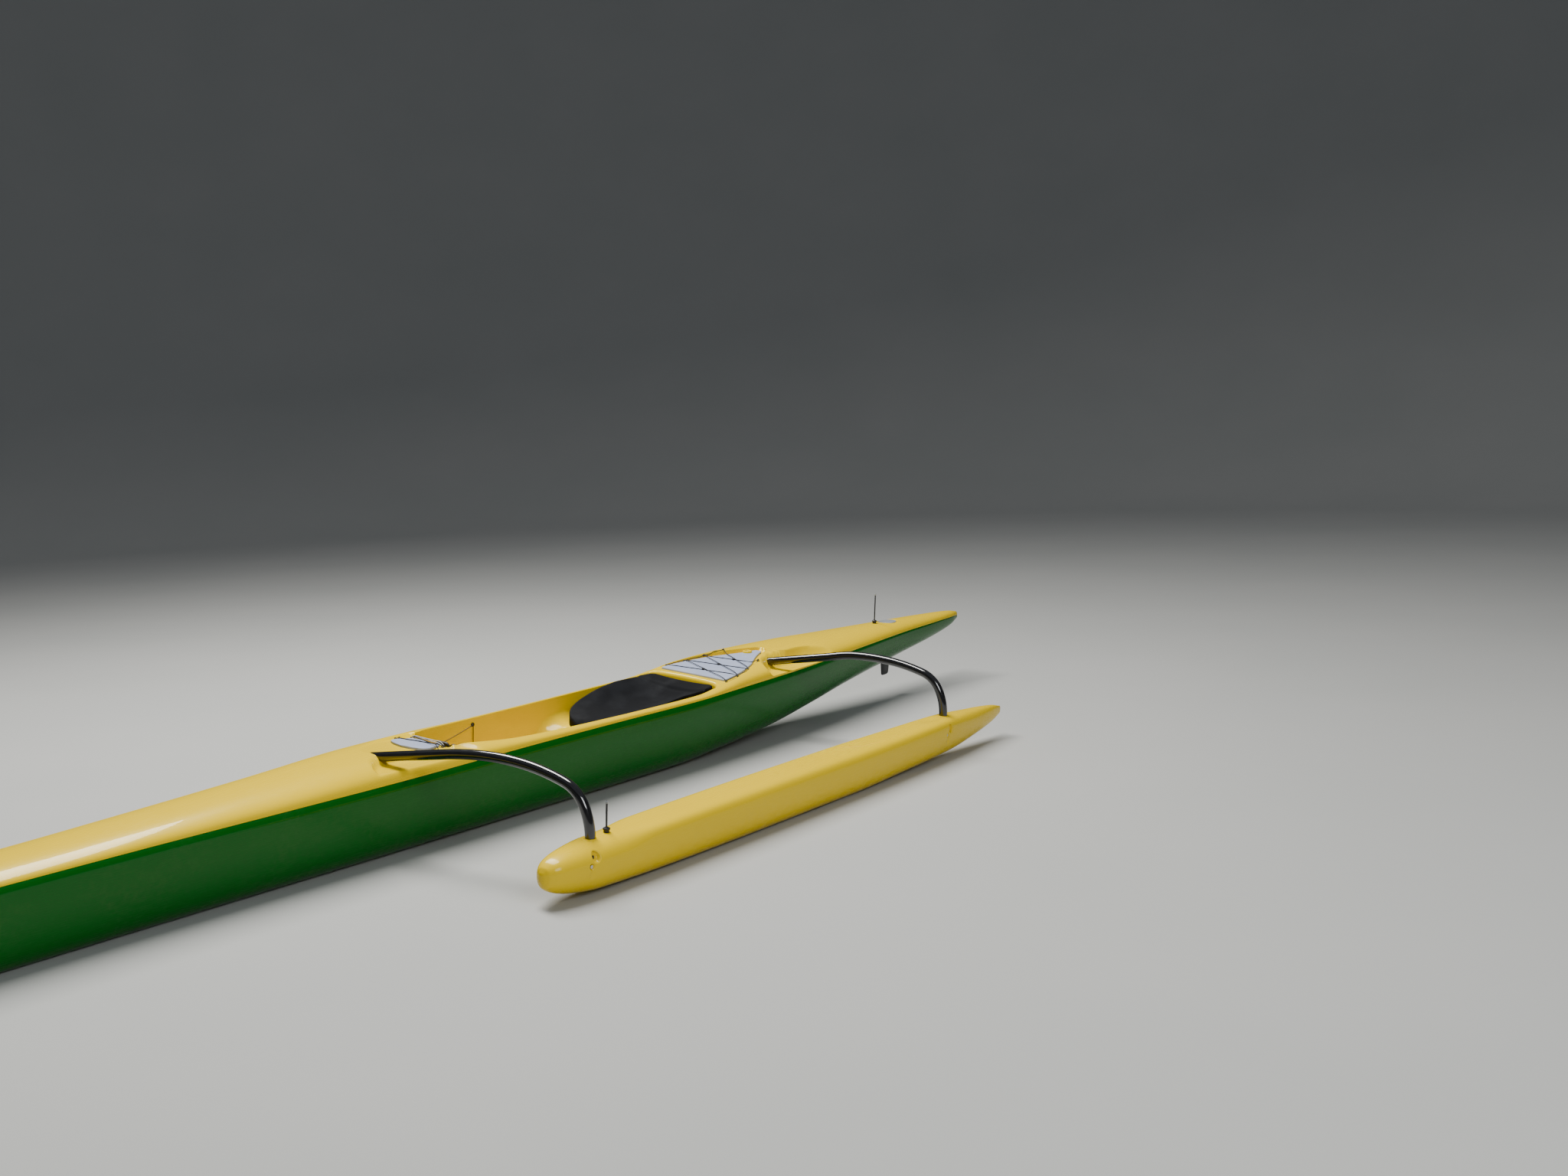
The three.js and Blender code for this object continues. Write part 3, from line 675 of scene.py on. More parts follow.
@dataclass(frozen=True)
class Moulded:
    """Moulded plastic: satin, with a spark-eroded grain and a few rubbed patches.

    Attributes:
        name: the material's name.
        colour: its colour.
        rough: its mean roughness.
    """

    name: str
    colour: Colour
    rough: float

    def material(self) -> bpy.types.Material:
        """Builds the material.

        Returns:
            Satin plastic whose roughness and grain follow two noises.
        """
        g = Graph(self.name)
        at = g.node("ShaderNodeTexCoord", output=3)
        rubbed = g.ramp(g.noise(at, 30.0, 5.0), 0.4, 0.75)
        base = g.blend(self.colour.rgba(), self.colour.rgba(1.6), rubbed)
        grain = g.noise(at, 900.0, 2.0)
        rough = self.rough - 0.12 * rubbed
        return g.finish(Base_Color=base, Roughness=rough, Normal=g.bump(grain, 0.00006))


@dataclass(frozen=True)
class Brushed:
    """Stainless steel with fine brushing.

    Attributes:
        name: the material's name.
        colour: its colour.
    """

    name: str
    colour: Colour

    def material(self) -> bpy.types.Material:
        """Builds the material.

        Returns:
            Metal whose roughness runs in fine lines.
        """
        g = Graph(self.name)
        at = g.node("ShaderNodeTexCoord", output=3)
        lines = g.noise(g.stretched(at, (60.0, 900.0, 900.0)), 1.0, 2.0)
        base = g.blend(self.colour.rgba(0.85), self.colour.rgba(), lines)
        rough = 0.22 + 0.22 * lines
        return g.finish(Base_Color=base, Roughness=rough, Metallic=1.0, Normal=g.bump(lines, 0.00003))


@dataclass(frozen=True)
class Braid:
    """A cord's braided sheath, with flecks of a second yarn.

    Attributes:
        name: the material's name.
        colour: the sheath's colour.
        fleck: the second yarn's colour.
        share: how much of the sheath is the second yarn, 0 to 1.
    """

    name: str
    colour: Colour
    fleck: Colour
    share: float

    def material(self) -> bpy.types.Material:
        """Builds the material.

        Returns:
            Two sets of slanted waves on the cord's own map, crossing as a braid does.
        """
        g = Graph(self.name)
        at = g.node("ShaderNodeUVMap", {"uv_map": "Along"})
        waves = []
        for side in (1.0, -1.0):
            slant = (0.0, 0.0, side * math.pi / 4)
            place = g.node("ShaderNodeMapping", {}, {"Vector": at, "Rotation": slant})
            waves.append(g.node("ShaderNodeTexWave", {}, {"Vector": place, "Scale": 1.6}, output=1))
        weave = waves[0] * waves[1]
        yarn = g.ramp(waves[0] - waves[1], 1.0 - self.share, 1.0)
        base = g.blend(self.colour.rgba(), self.fleck.rgba(), yarn)
        return g.finish(Base_Color=base, Roughness=0.75 - 0.15 * weave, Normal=g.bump(weave, 0.0003))


class Paints:
    """Every finish on the canoe, built once."""

    def __init__(self) -> None:
        """Builds the materials."""
        self.of = {
            Slot.GREEN: Gelcoat("green_gelcoat", Colour(0.0, 0.1, 0.004)).material(),
            Slot.YELLOW: Gelcoat("yellow_gelcoat", Colour(0.77, 0.53, 0.0)).material(),
            Slot.TUBE: Lacquer("black_tube", Colour(0.004, 0.004, 0.005)).material(),
            Slot.BLACK_FOAM: Foam(
                "black_foam", Colour(0.004, 0.0045, 0.006), Colour(0.016, 0.018, 0.022), 0.0004
            ).material(),
            Slot.GREY_FOAM: Foam(
                "grey_foam", Colour(0.3, 0.34, 0.46), Colour(0.42, 0.46, 0.56), 0.0003
            ).material(),
            Slot.BLACK_PLASTIC: Moulded("black_plastic", Colour(0.011, 0.011, 0.012), 0.45).material(),
            Slot.GREY_PLASTIC: Moulded("grey_plastic", Colour(0.2, 0.22, 0.24), 0.42).material(),
            Slot.STEEL: Brushed("steel", Colour(0.6, 0.6, 0.6)).material(),
        }
        self.bungee = Braid(
            "black_bungee", Colour(0.012, 0.012, 0.014), Colour(0.1, 0.1, 0.11), 0.25
        ).material()
        self.light_bungee = Braid(
            "light_bungee", Colour(0.6, 0.62, 0.64), Colour(0.2, 0.22, 0.25), 0.15
        ).material()
        self.line = Braid(
            "steering_line", Colour(0.02, 0.018, 0.015), Colour(0.12, 0.1, 0.06), 0.3
        ).material()


# Meshes


def grid_faces(rows: int, columns: int, wrap: bool) -> Array:
    """Quads of a grid whose points run along each row in turn.

    Args:
        rows: how many rows.
        columns: how many points in each.
        wrap: whether the last column joins the first.

    Returns:
        Four point numbers for each quad.
    """
    r = np.arange(rows - 1)[:, None]
    c = np.arange(columns if wrap else columns - 1)[None, :]
    n = (c + 1) % columns
    corners = [r * columns + c, r * columns + n, (r + 1) * columns + n, (r + 1) * columns + c]
    return np.stack(corners, -1).reshape(-1, 4)


class Yard:
    """Where finished pieces are made, named, painted and put on their bodies.

    Attributes:
        round_units: units of a cord's map that go once round it.
    """

    round_units: ClassVar[float] = 4.0

    def __init__(self, place: Placing, paints: Paints) -> None:
        """Holds what every piece needs.

        Args:
            place: the canoe's placing.
            paints: its finishes.
        """
        self.place = place
        self.paints = paints

    def piece(
        self,
        name: str,
        grids: Sequence[Array],
        slot: Slot,
        *,
        wrap: bool = True,
        body: Body = Body.HULL,
        replaces: Sequence[str] = (),
        crease: float | None = None,
        wall: float = 0.0,
        paint: bpy.types.Material | None = None,
        mapped: bool = False,
    ) -> bpy.types.Object:
        """Makes one piece from grids of points in the upright canoe.

        Points below the ground are raised to it. Doubled points are merged, which closes poles and
        seams, and the faces are turned outwards.

        Args:
            name: the piece's name.
            grids: arrays of rows by columns by 3, in millimetres.
            slot: the finish.
            wrap: whether each row closes on itself.
            body: what it rides on.
            replaces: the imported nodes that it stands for.
            crease: degrees above which an edge is sharp, or None for all smooth.
            wall: thickness given to an open surface, inwards, in millimetres.
            paint: a material other than the slot's own.
            mapped: whether the rows get a cord's map.

        Returns:
            The piece's object.
        """
        points, faces, maps, base = [], [], [], 0
        for grid in grids:
            rows, columns = grid.shape[:2]
            points.append(self.place.points(grid))
            faces.append(grid_faces(rows, columns, wrap) + base)
            if mapped:
                maps.append(self._along(grid))
            base += rows * columns
        mesh = bpy.data.meshes.new(name)
        every = np.concatenate(points)
        every[:, 2] = np.maximum(every[:, 2], 0.0)
        mesh.from_pydata(every.tolist(), [], np.concatenate(faces).tolist())
        if mapped:
            layer = mesh.uv_layers.new(name="Along")
            corner = np.zeros(len(mesh.loops), np.int32)
            mesh.loops.foreach_get("vertex_index", corner)
            layer.data.foreach_set("uv", np.concatenate(maps)[corner].astype(np.float32).ravel())
        self._tidy(mesh)
        mesh.shade_smooth()
        if crease is not None:
            mesh.set_sharp_from_angle(angle=math.radians(crease))
        mesh.materials.append(paint or self.paints.of[slot])
        made = bpy.data.objects.new(name, mesh)
        bpy.context.scene.collection.objects.link(made)
        if wall:
            solid = made.modifiers.new("Wall", "SOLIDIFY")
            solid.thickness = wall * MM
            solid.offset = -1.0
        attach(made, body.value)
        if replaces:
            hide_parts(*replaces)
        log.info("%s: %d faces", name, len(mesh.polygons))
        return made

    @staticmethod
    def _along(grid: Array) -> Array:
        """A map for a cord, with as many units to a length along it as to the same length round it.

        Args:
            grid: the cord's rings, whose last column repeats the first.

        Returns:
            Two numbers for each point.
        """
        rows, columns = grid.shape[:2]
        middle = grid[:, :-1].mean(1)
        run = np.concatenate([[0.0], np.cumsum(np.linalg.norm(np.diff(middle, axis=0), axis=1))])
        girth = 2 * math.pi * max(float(np.linalg.norm(grid[rows // 2, 0] - middle[rows // 2])), 0.1)
        u = np.broadcast_to(np.linspace(0.0, Yard.round_units, columns), (rows, columns))
        v = np.broadcast_to((run / girth * Yard.round_units)[:, None], (rows, columns))
        return np.stack([u, v], -1).reshape(-1, 2)

    @staticmethod
    def _tidy(mesh: bpy.types.Mesh) -> None:
        """Merges doubled points and turns the faces outwards."""
        work = bmesh.new()
        work.from_mesh(mesh)
        bmesh.ops.remove_doubles(work, verts=work.verts, dist=2e-6)
        bmesh.ops.dissolve_degenerate(work, edges=work.edges, dist=1e-7)
        bmesh.ops.recalc_face_normals(work, faces=work.faces)
        work.to_mesh(mesh)
        work.free()


def closed(grid: Array) -> Array:
    """Closes a grid's ends by adding each end row shrunk to its own middle.

    Args:
        grid: rows of closed rings.

    Returns:
        The grid with one more row at each end.
    """
    caps = [np.broadcast_to(grid[k].mean(0), grid[k].shape)[None] for k in (0, -1)]
    return np.concatenate([caps[0], grid, caps[1]])


def rounded_ends(grid: Array, level: bool) -> Array:
    """Rounds a moulding's ends off with two more rows at each, drawn in towards its centreline.

    Args:
        grid: rows of points across X, from the bow to the stern.
        level: whether the rows are drawn in to their mean height too.

    Returns:
        The grid with its new rows.
    """
    ends = []
    for row, way in ((0, 1.0), (-1, -1.0)):
        for share in TIP_SHARES:
            tip = grid[row].copy()
            tip[:, 0] += way * TIP_REACH * (1 - share)
            tip[:, 1] *= share
            if level:
                middle = tip[:, 2].mean()
                tip[:, 2] = middle + (tip[:, 2] - middle) * share
            ends.append(tip)
    return np.concatenate([[ends[1], ends[0]], grid, [ends[2], ends[3]]])


def lathe(profile: Sequence[Numbers], sides: int, knurl: float = 0.0, lobes: int = 0) -> Array:
    """A profile turned about the Z axis: each ring is its radius times cosine and sine.

    Args:
        profile: radius and height of each ring, from one end to the other.
        sides: points around.
        knurl: how far the widest rings' ribs stand out, as a share of the radius.
        lobes: how many ribs.

    Returns:
        The grid, about the origin.
    """
    radius, height = np.array(profile, float).T
    angle = np.linspace(0.0, 2 * math.pi, sides, endpoint=False)
    ribs = 1.0 + knurl * np.cos(lobes * angle) * (radius > radius.max() * 0.93)[:, None]
    reach = radius[:, None] * ribs
    level = np.broadcast_to(height[:, None], reach.shape)
    return np.stack([reach * np.cos(angle), reach * np.sin(angle), level], -1)


def sweep(path: Array, radius: Array | float, sides: int, across: Numbers | None = None) -> Array:
    """A round bar along a path: each ring lies across the path's direction there.

    A ring's point is the path's point plus the radius times cosine of one crossing direction and
    sine of the other. The first crossing is given, or level. The last column repeats the first.

    Args:
        path: points along the middle.
        radius: one radius, or one at each point.
        sides: points around.
        across: the first crossing direction, or None for a level one.

    Returns:
        The grid, closed at both ends.
    """
    along = np.gradient(path, axis=0)
    along /= np.linalg.norm(along, axis=1)[:, None]
    first = np.cross(along, (0.0, 0.0, 1.0)) if across is None else np.broadcast_to(across, along.shape)
    first = first / np.maximum(np.linalg.norm(first, axis=1), 1e-9)[:, None]
    second = np.cross(first, along)
    angle = np.linspace(0.0, 2 * math.pi, sides + 1)[None, :, None]
    reach = np.broadcast_to(radius, len(path))[:, None, None]
    ring = first[:, None] * np.cos(angle) + second[:, None] * np.sin(angle)
    return closed(path[:, None] + reach * ring)


def through(points: Sequence[Numbers], step: float) -> Array:
    """A smooth curve through points (each stretch the cubic that its four nearest points give).

    Args:
        points: where it passes.
        step: spacing of the points that come back.

    Returns:
        Points along the curve.
    """
    p = np.array(points, float)
    p = np.concatenate([[2 * p[0] - p[1]], p, [2 * p[-1] - p[-2]]])
    parts = []
    for i in range(1, len(p) - 2):
        count = max(int(np.linalg.norm(p[i + 1] - p[i]) / step), 2)
        t = np.linspace(0.0, 1.0, count, endpoint=False)[:, None]
        a, b, c, d = p[i - 1 : i + 3]
        curve = 2 * b + (c - a) * t + (2 * a - 5 * b + 4 * c - d) * t**2 + (3 * b - a - 3 * c + d) * t**3
        parts.append(curve / 2)
    return np.concatenate([*parts, p[-2:-1]])


@dataclass(frozen=True)
class Plate:
    """A flat plate with rounded top edges, drawn on a plan outline.

    Attributes:
        outline: its plan outline.
        thickness: its thickness.
        edge: radius of its top edge.
        relief: height added to its top at x and y.
    """

    outline: Outline
    thickness: float
    edge: float
    relief: Callable[[Array, Array], Array]

    def grid(self, rows: int, columns: int) -> Array:
        """The plate's points: its top, whose height rises with the distance inside, then its bottom.

        At a distance d inside, the top is its thickness less the edge's radius, plus the root of
        radius squared less (radius - d) squared.

        Args:
            rows: stations along it, closer at the ends.
            columns: points across the top.

        Returns:
            The grid, standing on z = 0.
        """
        x, y = self.outline.plan(rows, columns)
        inside = np.clip(self.outline.inside(x, y), 0.0, self.edge)
        top = self.thickness - self.edge + np.sqrt(self.edge**2 - (self.edge - inside) ** 2)
        top = top + self.relief(x, y) * smoothstep(inside / self.edge)
        upper = np.stack([x, y, top], -1)
        lower = np.stack([x, y, np.zeros_like(x)], -1)[:, ::-1]
        return closed(np.concatenate([upper, lower], 1))


def oval_half(middle: float, length: float, width: float) -> Callable[[Array], Array]:
    """Half width along x of an oval: half its width times the root of 1 - (2 dx / length)^2."""
    return lambda x: width / 2 * np.sqrt(np.clip(1 - (2 * (x - middle) / length) ** 2, 0.0, 1.0))


# The hull


class Lines:
    """The hull's curves, read from its table."""

    def __init__(self) -> None:
        """Reads each column."""
        self.half, self.seam, self.keel, self.deck, self.square = (Line(HULL_LINES, k) for k in range(1, 6))

    def crown(self, x: Array, y: Array) -> Array:
        """The plain deck's height: a superellipse from the seam up to the centreline.

        Args:
            x: stations.
            y: distances from the centreline.

        Returns:
            seam + (deck - seam) (1 - |y / half|^n)^(1/n), n being the shoulders' squareness.
        """
        n = self.square(x)
        share = np.clip(np.abs(y) / self.half(x), 0.0, 1.0)
        return self.seam(x) + (self.deck(x) - self.seam(x)) * (1 - share**n) ** (1 / n)


@dataclass
class HullBottom:
    """The green lower moulding, from the keel up to the seam.

    Attributes:
        keel_flat: half width of the flat along the keel.
        flat_share: most of the half width that the flat takes, at the ends.
        bilge: below 1 gives fuller bilges than an ellipse.
        steps: points down each side.
        wall: thickness of the moulding.
    """

    keel_flat: float = 14.0
    flat_share: float = 0.4
    bilge: float = 0.8
    steps: int = 26
    wall: float = 3.5
    nodes: ClassVar[tuple[str, ...]] = (
        "hull_bottom_bow",
        "hull_bottom_footwell",
        "hull_bottom_seat",
        "hull_bottom_stern",
    )

    def section(self, lines: Lines, x: Array) -> Array:
        """Rings from the port seam round the keel to the starboard seam.

        Across, the flat plus the rest of the half width times cosine to a power; down, the depth
        times sine to the same power.

        Args:
            lines: the hull's curves.
            x: stations.

        Returns:
            Rows by columns by 3.
        """
        angle = np.linspace(0.0, math.pi / 2, self.steps + 1)[None, :]
        half = lines.half(x)[:, None]
        flat = np.minimum(self.keel_flat, half * self.flat_share)
        top, keel = lines.seam(x)[:, None], lines.keel(x)[:, None]
        y = flat + (half - flat) * np.clip(np.cos(angle), 0.0, 1.0) ** self.bilge
        z = top - (top - keel) * np.sin(angle) ** self.bilge
        y = np.concatenate([y, -y[:, ::-1]], 1)
        z = np.concatenate([z, z[:, ::-1]], 1)
        return np.stack([np.broadcast_to(x[:, None], y.shape), y, z], -1)

    def build(self, yard: Yard, lines: Lines) -> None:
        """Makes the moulding.

        Args:
            yard: where pieces are made.
            lines: the hull's curves.
        """
        x = spans((3000, 2880, 6), (2880, 2300, 20), (2300, -2300, 28), (-2300, -2880, 20), (-2880, -3000, 6))
        grid = rounded_ends(self.section(lines, x), level=False)
        yard.piece("hull_shell", [grid], Slot.GREEN, wrap=False, wall=self.wall, replaces=self.nodes)


@dataclass(frozen=True)
class Scoop:
    """The hollow in the deck's port shoulder around a cross beam.

    It is steep just ahead of the beam and runs out gently aft.

    Attributes:
        x: middle of its deepest part.
        y: its middle, outboard.
        floor: its floor's height.
        ahead: its reach forwards.
        aft: its reach aft.
        inboard: its reach inboard.
        rim: share of the reach at which the wall starts.
        wall: how high the wall rises over the rest of the reach.
    """

    x: float
    y: float
    floor: float
    ahead: float
    aft: float
    inboard: float
    rim: float = 0.78
    wall: float = 75.0

    def height(self, x: Array, y: Array) -> Array:
        """The hollow's surface: flat inside the rim, then rising with the square beyond it.

        Args:
            x: stations.
            y: distances to port.

        Returns:
            Its height, far above the deck outside the hollow.
        """
        along = np.where(x > self.x, (x - self.x) / self.ahead, (self.x - x) / self.aft)
        out = np.hypot(along, np.minimum((y - self.y) / self.inboard, 0.0))
        rise = np.maximum(out - self.rim, 0.0) / (1 - self.rim)
        easy = self.wall * (0.35 + 0.65 * smoothstep((x - self.x + self.ahead) / self.ahead))
        return self.floor + easy * rise**2


@dataclass
class Deck:
    """The yellow upper moulding: deck, pad beds, footwell and seat tub, in one skin.

    Attributes:
        lip: radius of the tub's rim at its sides.
        roll: radius of its rim at the bulkhead behind the seat.
        roll_start: where that roll comes in, and over what length aft.
        front_step: width of the step into the front bed.
        rear_step: width of the step into the rear bed.
        hatch_step: width of the step into the hatch's seat.
        front_slope: x, height and degrees of rise forwards of the front bed.
        rear_slope: x, height and degrees of rise aft of the rear bed.
        wall_run: how far inside its outline the tub's wall reaches the tub's surface.
        flat_share: half width of the tub's flat, as a share of its table's.
        shoulder: where the tub's wall starts to turn, as a share of the way up to the seam.
        bend: power that the turn's cosine is raised to.
        under: how far the moulding's underside lies below its floor.
        hatch: x, length, width and depth of the stern hatch's seat.
    """

    lip: float = 5.0
    roll: float = 13.0
    roll_start: tuple[float, float] = (-925.0, 50.0)
    front_step: float = 16.0
    rear_step: float = 4.0
    hatch_step: float = 1.5
    front_slope: tuple[float, float, float] = (262.0, 304.0, 5.0)
    rear_slope: tuple[float, float, float] = (-1020.0, 312.0, 3.6)
    wall_run: float = 0.4
    flat_share: float = 0.6
    shoulder: float = 0.45
    bend: float = 0.9
    under: float = 5.0
    hatch: tuple[float, float, float, float] = (-2398.0, 112.0, 70.0, 8.0)
    nodes: ClassVar[tuple[str, ...]] = (
        "deck_bow",
        "deck_footwell_port",
        "deck_footwell_starboard",
        "deck_seat_port",
        "deck_seat_starboard",
        "deck_stern",
    )

    def __post_init__(self) -> None:
        """Sets the deck's shapes from its tables."""
        self.lines = Lines()
        self.floor_half, self.floor_z = Line(TUB_LINES, 2), Line(TUB_LINES, 3)
        self.tub = Outline(Line(TUB_LINES, 1), low=TUB_AFT, high=TUB_FORE, corner=26.0)
        curves = ((-1150, 174, -1290, 114), (-1415, 46, -1466, 24), (-1474, 12, -1474, 0))
        rear = bezier_half((-1020, 178), curves)
        self.rear_bed = Outline(rear, low=-1474.0, high=-1012.0, corner=4.0)
        front = Line(((262, 94), (330, 98), (400, 88), (460, 66), (520, 30), (560, 8)), 1)
        self.front_bed = Outline(front, low=TUB_FORE, high=560.0, corner=8.0)
        self.scoops = (
            Scoop(x=FRONT_BEAM_X - 24, y=182, floor=297, ahead=138, aft=330, inboard=142),
            Scoop(x=REAR_BEAM_X - 46, y=229, floor=299, ahead=190, aft=360, inboard=152),
        )

    def front_plane(self, x: Array) -> Array:
        """The front bed's height: it rises forwards from the footwell."""
        start, level, rise = self.front_slope
        return level + (x - start) * math.tan(math.radians(rise))

    def rear_plane(self, x: Array) -> Array:
        """The rear bed's height: it rises aft from the bulkhead."""
        start, level, rise = self.rear_slope
        return level + (start - x) * math.tan(math.radians(rise))

    def top(self, x: Array, y: Array) -> Array:
        """The deck's height without the tub: crown, beds, beam hollows and hatch seat.

        A bed's plane takes over from the crown as a soft step across its outline.

        Args:
            x: stations.
            y: distances to port.

        Returns:
            The height.
        """
        z = self.lines.crown(x, y)
        for outline, plane, edge in (
            (self.front_bed, self.front_plane(x), self.front_step),
            (self.rear_bed, self.rear_plane(x), self.rear_step),
        ):
            mask = smoothstep((outline.inside(x, y) + edge) / edge)
            z = z + (np.minimum(plane, z) - z) * mask
        for scoop in self.scoops:
            z = smooth_min(z, scoop.height(x, y), 5.0)
        middle, length, width, depth = self.hatch
        out = np.hypot((x - middle) / (length / 2), y / (width / 2))
        seat = self.lines.deck(middle) - depth
        mask = smoothstep((1.0 - out) * width / 2 / self.hatch_step + 1.0)
        return z + (np.minimum(seat, z) - z) * mask

    def lip_at(self, x: Array) -> Array:
        """Radius of the tub's rim: that of the bulkhead's roll at the back."""
        start, over = self.roll_start
        return self.lip + (self.roll - self.lip) * smoothstep((start - x) / over)

    def tub_height(self, x: Array, y: Array) -> Array:
        """The tub's inside: a flat floor, then a quarter ellipse up to an upright wall.

        Across, the flat plus the rest times cosine to the bend's power; down, the shoulder less its
        drop times sine.

        Args:
            x: stations.
            y: distances to port.

        Returns:
            The height.
        """
        x = np.clip(x, self.tub.low, self.tub.high)
        floor, rim = self.floor_z(x), self.tub.half(x)
        flat = self.flat_share * self.floor_half(x)
        shoulder = floor + (self.lines.seam(x) - floor) * self.shoulder
        cosine = np.clip((np.abs(y) - flat) / (rim - flat), 0.0, 1.0) ** (1 / self.bend)
        return shoulder - (shoulder - floor) * np.sqrt(1 - cosine**2)

    def height(self, x: Array, y: Array) -> Array:
        """The whole upper surface.

        Up to its radius outside the tub's outline the rim turns down as a quarter circle, and just
        inside it the wall drops to the tub's surface.

        Args:
            x: stations.
            y: distances to port.

        Returns:
            The height.
        """
        x, y = np.broadcast_arrays(np.asarray(x, float), np.asarray(y, float))
        z = self.top(x, y)
        inside = self.tub.inside(x, y)
        r = self.lip_at(x)
        bend = np.clip(inside + r, 0.0, r)
        z = z - (r - np.sqrt(np.maximum(r * r - bend * bend, 0.0)))
        wall = np.clip(inside / self.wall_run, 0.0, 1.0)
        return z + (np.minimum(self.tub_height(x, y), z) - z) * wall

    def guide(self, x: Array) -> tuple[Array, Array]:
        """Where the grid's close columns run, and how far apart they are.

        They follow the tub's rim and the beds' and hatch's outlines, and ease to half the hull's
        width in between.

        Args:
            x: stations.

        Returns:
            Their half width and their spread.
        """
        plain = self.lines.half(x) * 0.5
        half = plain.copy()
        spread = np.minimum(4.0, plain * 0.1)
        middle, length, width, _ = self.hatch
        ovals = Outline(oval_half(middle, length, width), middle - length / 2, middle + length / 2, 1.0)
        steps = (self.front_step / 2, self.rear_step, self.hatch_step, None)
        for outline, edge in zip((self.front_bed, self.rear_bed, ovals, self.tub), steps, strict=True):
            away = np.maximum(-outline.end_distance(x), 0.0)
            near = 1.0 - smoothstep(away / 45.0)
            own = np.maximum(outline.half_at(np.clip(x, outline.low, outline.high)), 5.0)
            half = half + (own - half) * near
            spread = spread + ((edge or self.lip_at(x)) - spread) * near
        return half, spread

    def columns(self, x: Array) -> Array:
        """Distances to port of each row's points, from the port seam in to the centreline.

        The outer ones run round the shoulder by an even angle, the middle ones sit close together
        across an edge, and the inner ones follow the tub's quarter ellipse and its floor.

        Args:
            x: stations.

        Returns:
            Rows by columns.
        """
        half = self.lines.half(x)[:, None]
        n = self.lines.square(x)[:, None]
        own, spread = self.guide(x)
        own, spread = own[:, None], spread[:, None]
        reach = np.minimum(own + 2.2 * spread, 0.985 * half)
        last = np.arccos(np.clip(reach / half, 0.0, 1.0) ** (n / 2))
        angle = last * np.linspace(0.0, 1.0, 24)[None, :] ** 1.5
        outer = half * np.cos(angle) ** (2 / n)
        band = own + (reach - own) / 2.2 * np.array([[1.6, 1.25, 1.0, 0.8, 0.6, 0.42, 0.26, 0.13, 0.04, 0.0]])
        rim = np.maximum(own - self.wall_run, 0.0)
        flat = np.minimum(self.flat_share * self.floor_half(x)[:, None], 0.7 * rim)
        curve = flat + (rim - flat) * np.cos(np.linspace(0.0, math.pi / 2, 10))[None, :] ** self.bend
        floor = flat * np.linspace(0.8, 0.0, 5)[None, :]
        return np.concatenate([outer, band, curve, floor], 1)

    def underside(self, x: Array) -> Array:
        """Rings under the deck and round the outside of the tub, from starboard to port.

        Args:
            x: stations.

        Returns:
            Rows by columns by 3, without the seam's own points.
        """
        half, low = self.lines.half(x)[:, None], self.lines.seam(x)[:, None]
        tub = smoothstep((self.tub.end_distance(x) + 12.0) / 6.0)[:, None]
        held = np.clip(x, self.tub.low, self.tub.high)
        rim = self.tub.half(held)[:, None] + self.under
        floor = self.floor_z(held)[:, None] - self.under
        flat = self.flat_share * self.floor_half(held)[:, None]
        shoulder = floor + (low - floor) * self.shoulder
        angle = np.radians([[0.0, 25.0, 50.0, 72.0, 90.0]])
        wall_y = np.concatenate([rim, flat + (rim - flat) * np.cos(angle) ** self.bend], 1)
        wall_z = np.concatenate([low - 6.0, shoulder - (shoulder - floor) * np.sin(angle)], 1)
        plain_y = half * np.array([[0.9, 0.8, 0.65, 0.5, 0.35, 0.2]])
        y = plain_y + (wall_y - plain_y) * tub
        z = (low - self.under) + (wall_z - (low - self.under)) * tub
        y = np.concatenate([-y, y[:, ::-1]], 1)
        z = np.concatenate([z, z[:, ::-1]], 1)
        return np.stack([np.broadcast_to(x[:, None], y.shape), y, z], -1)

    def build(self, yard: Yard) -> None:
        """Makes the moulding as one closed skin.

        Args:
            yard: where pieces are made.
        """
        x = spans(
            (3000, 2940, 6),
            (2940, 680, 26),
            (680, 400, 4),
            (400, 272, 5),
            (272, 267.4, 1.5),
            (267.4, 262, 0.6),
            (262, 261.6, 0.4),
            (261.6, 236, 2.5),
            (236, 180, 5),
            (180, -330, 14),
            (-330, -500, 7),
            (-500, -925, 14),
            (-925, -972, 5),
            (-972, -984.6, 2),
            (-984.6, -985, 0.4),
            (-985, -998, 0.9),
            (-998, -1020, 2),
            (-1020, -1180, 8),
            (-1180, -1490, 4),
            (-1490, -1800, 8),
            (-1800, -2335, 18),
            (-2335, -2460, 3),
            (-2460, -2940, 18),
            (-2940, -3000, 6),
        )
        y = self.columns(x)
        y = np.concatenate([y, -y[:, -2::-1]], 1)
        across = np.broadcast_to(x[:, None], y.shape)
        upper = np.stack([across, y, self.height(across, y)], -1)
        grid = rounded_ends(np.concatenate([upper, self.underside(x)], 1), level=True)
        yard.piece("deck_shell", [grid], Slot.YELLOW, replaces=self.nodes)


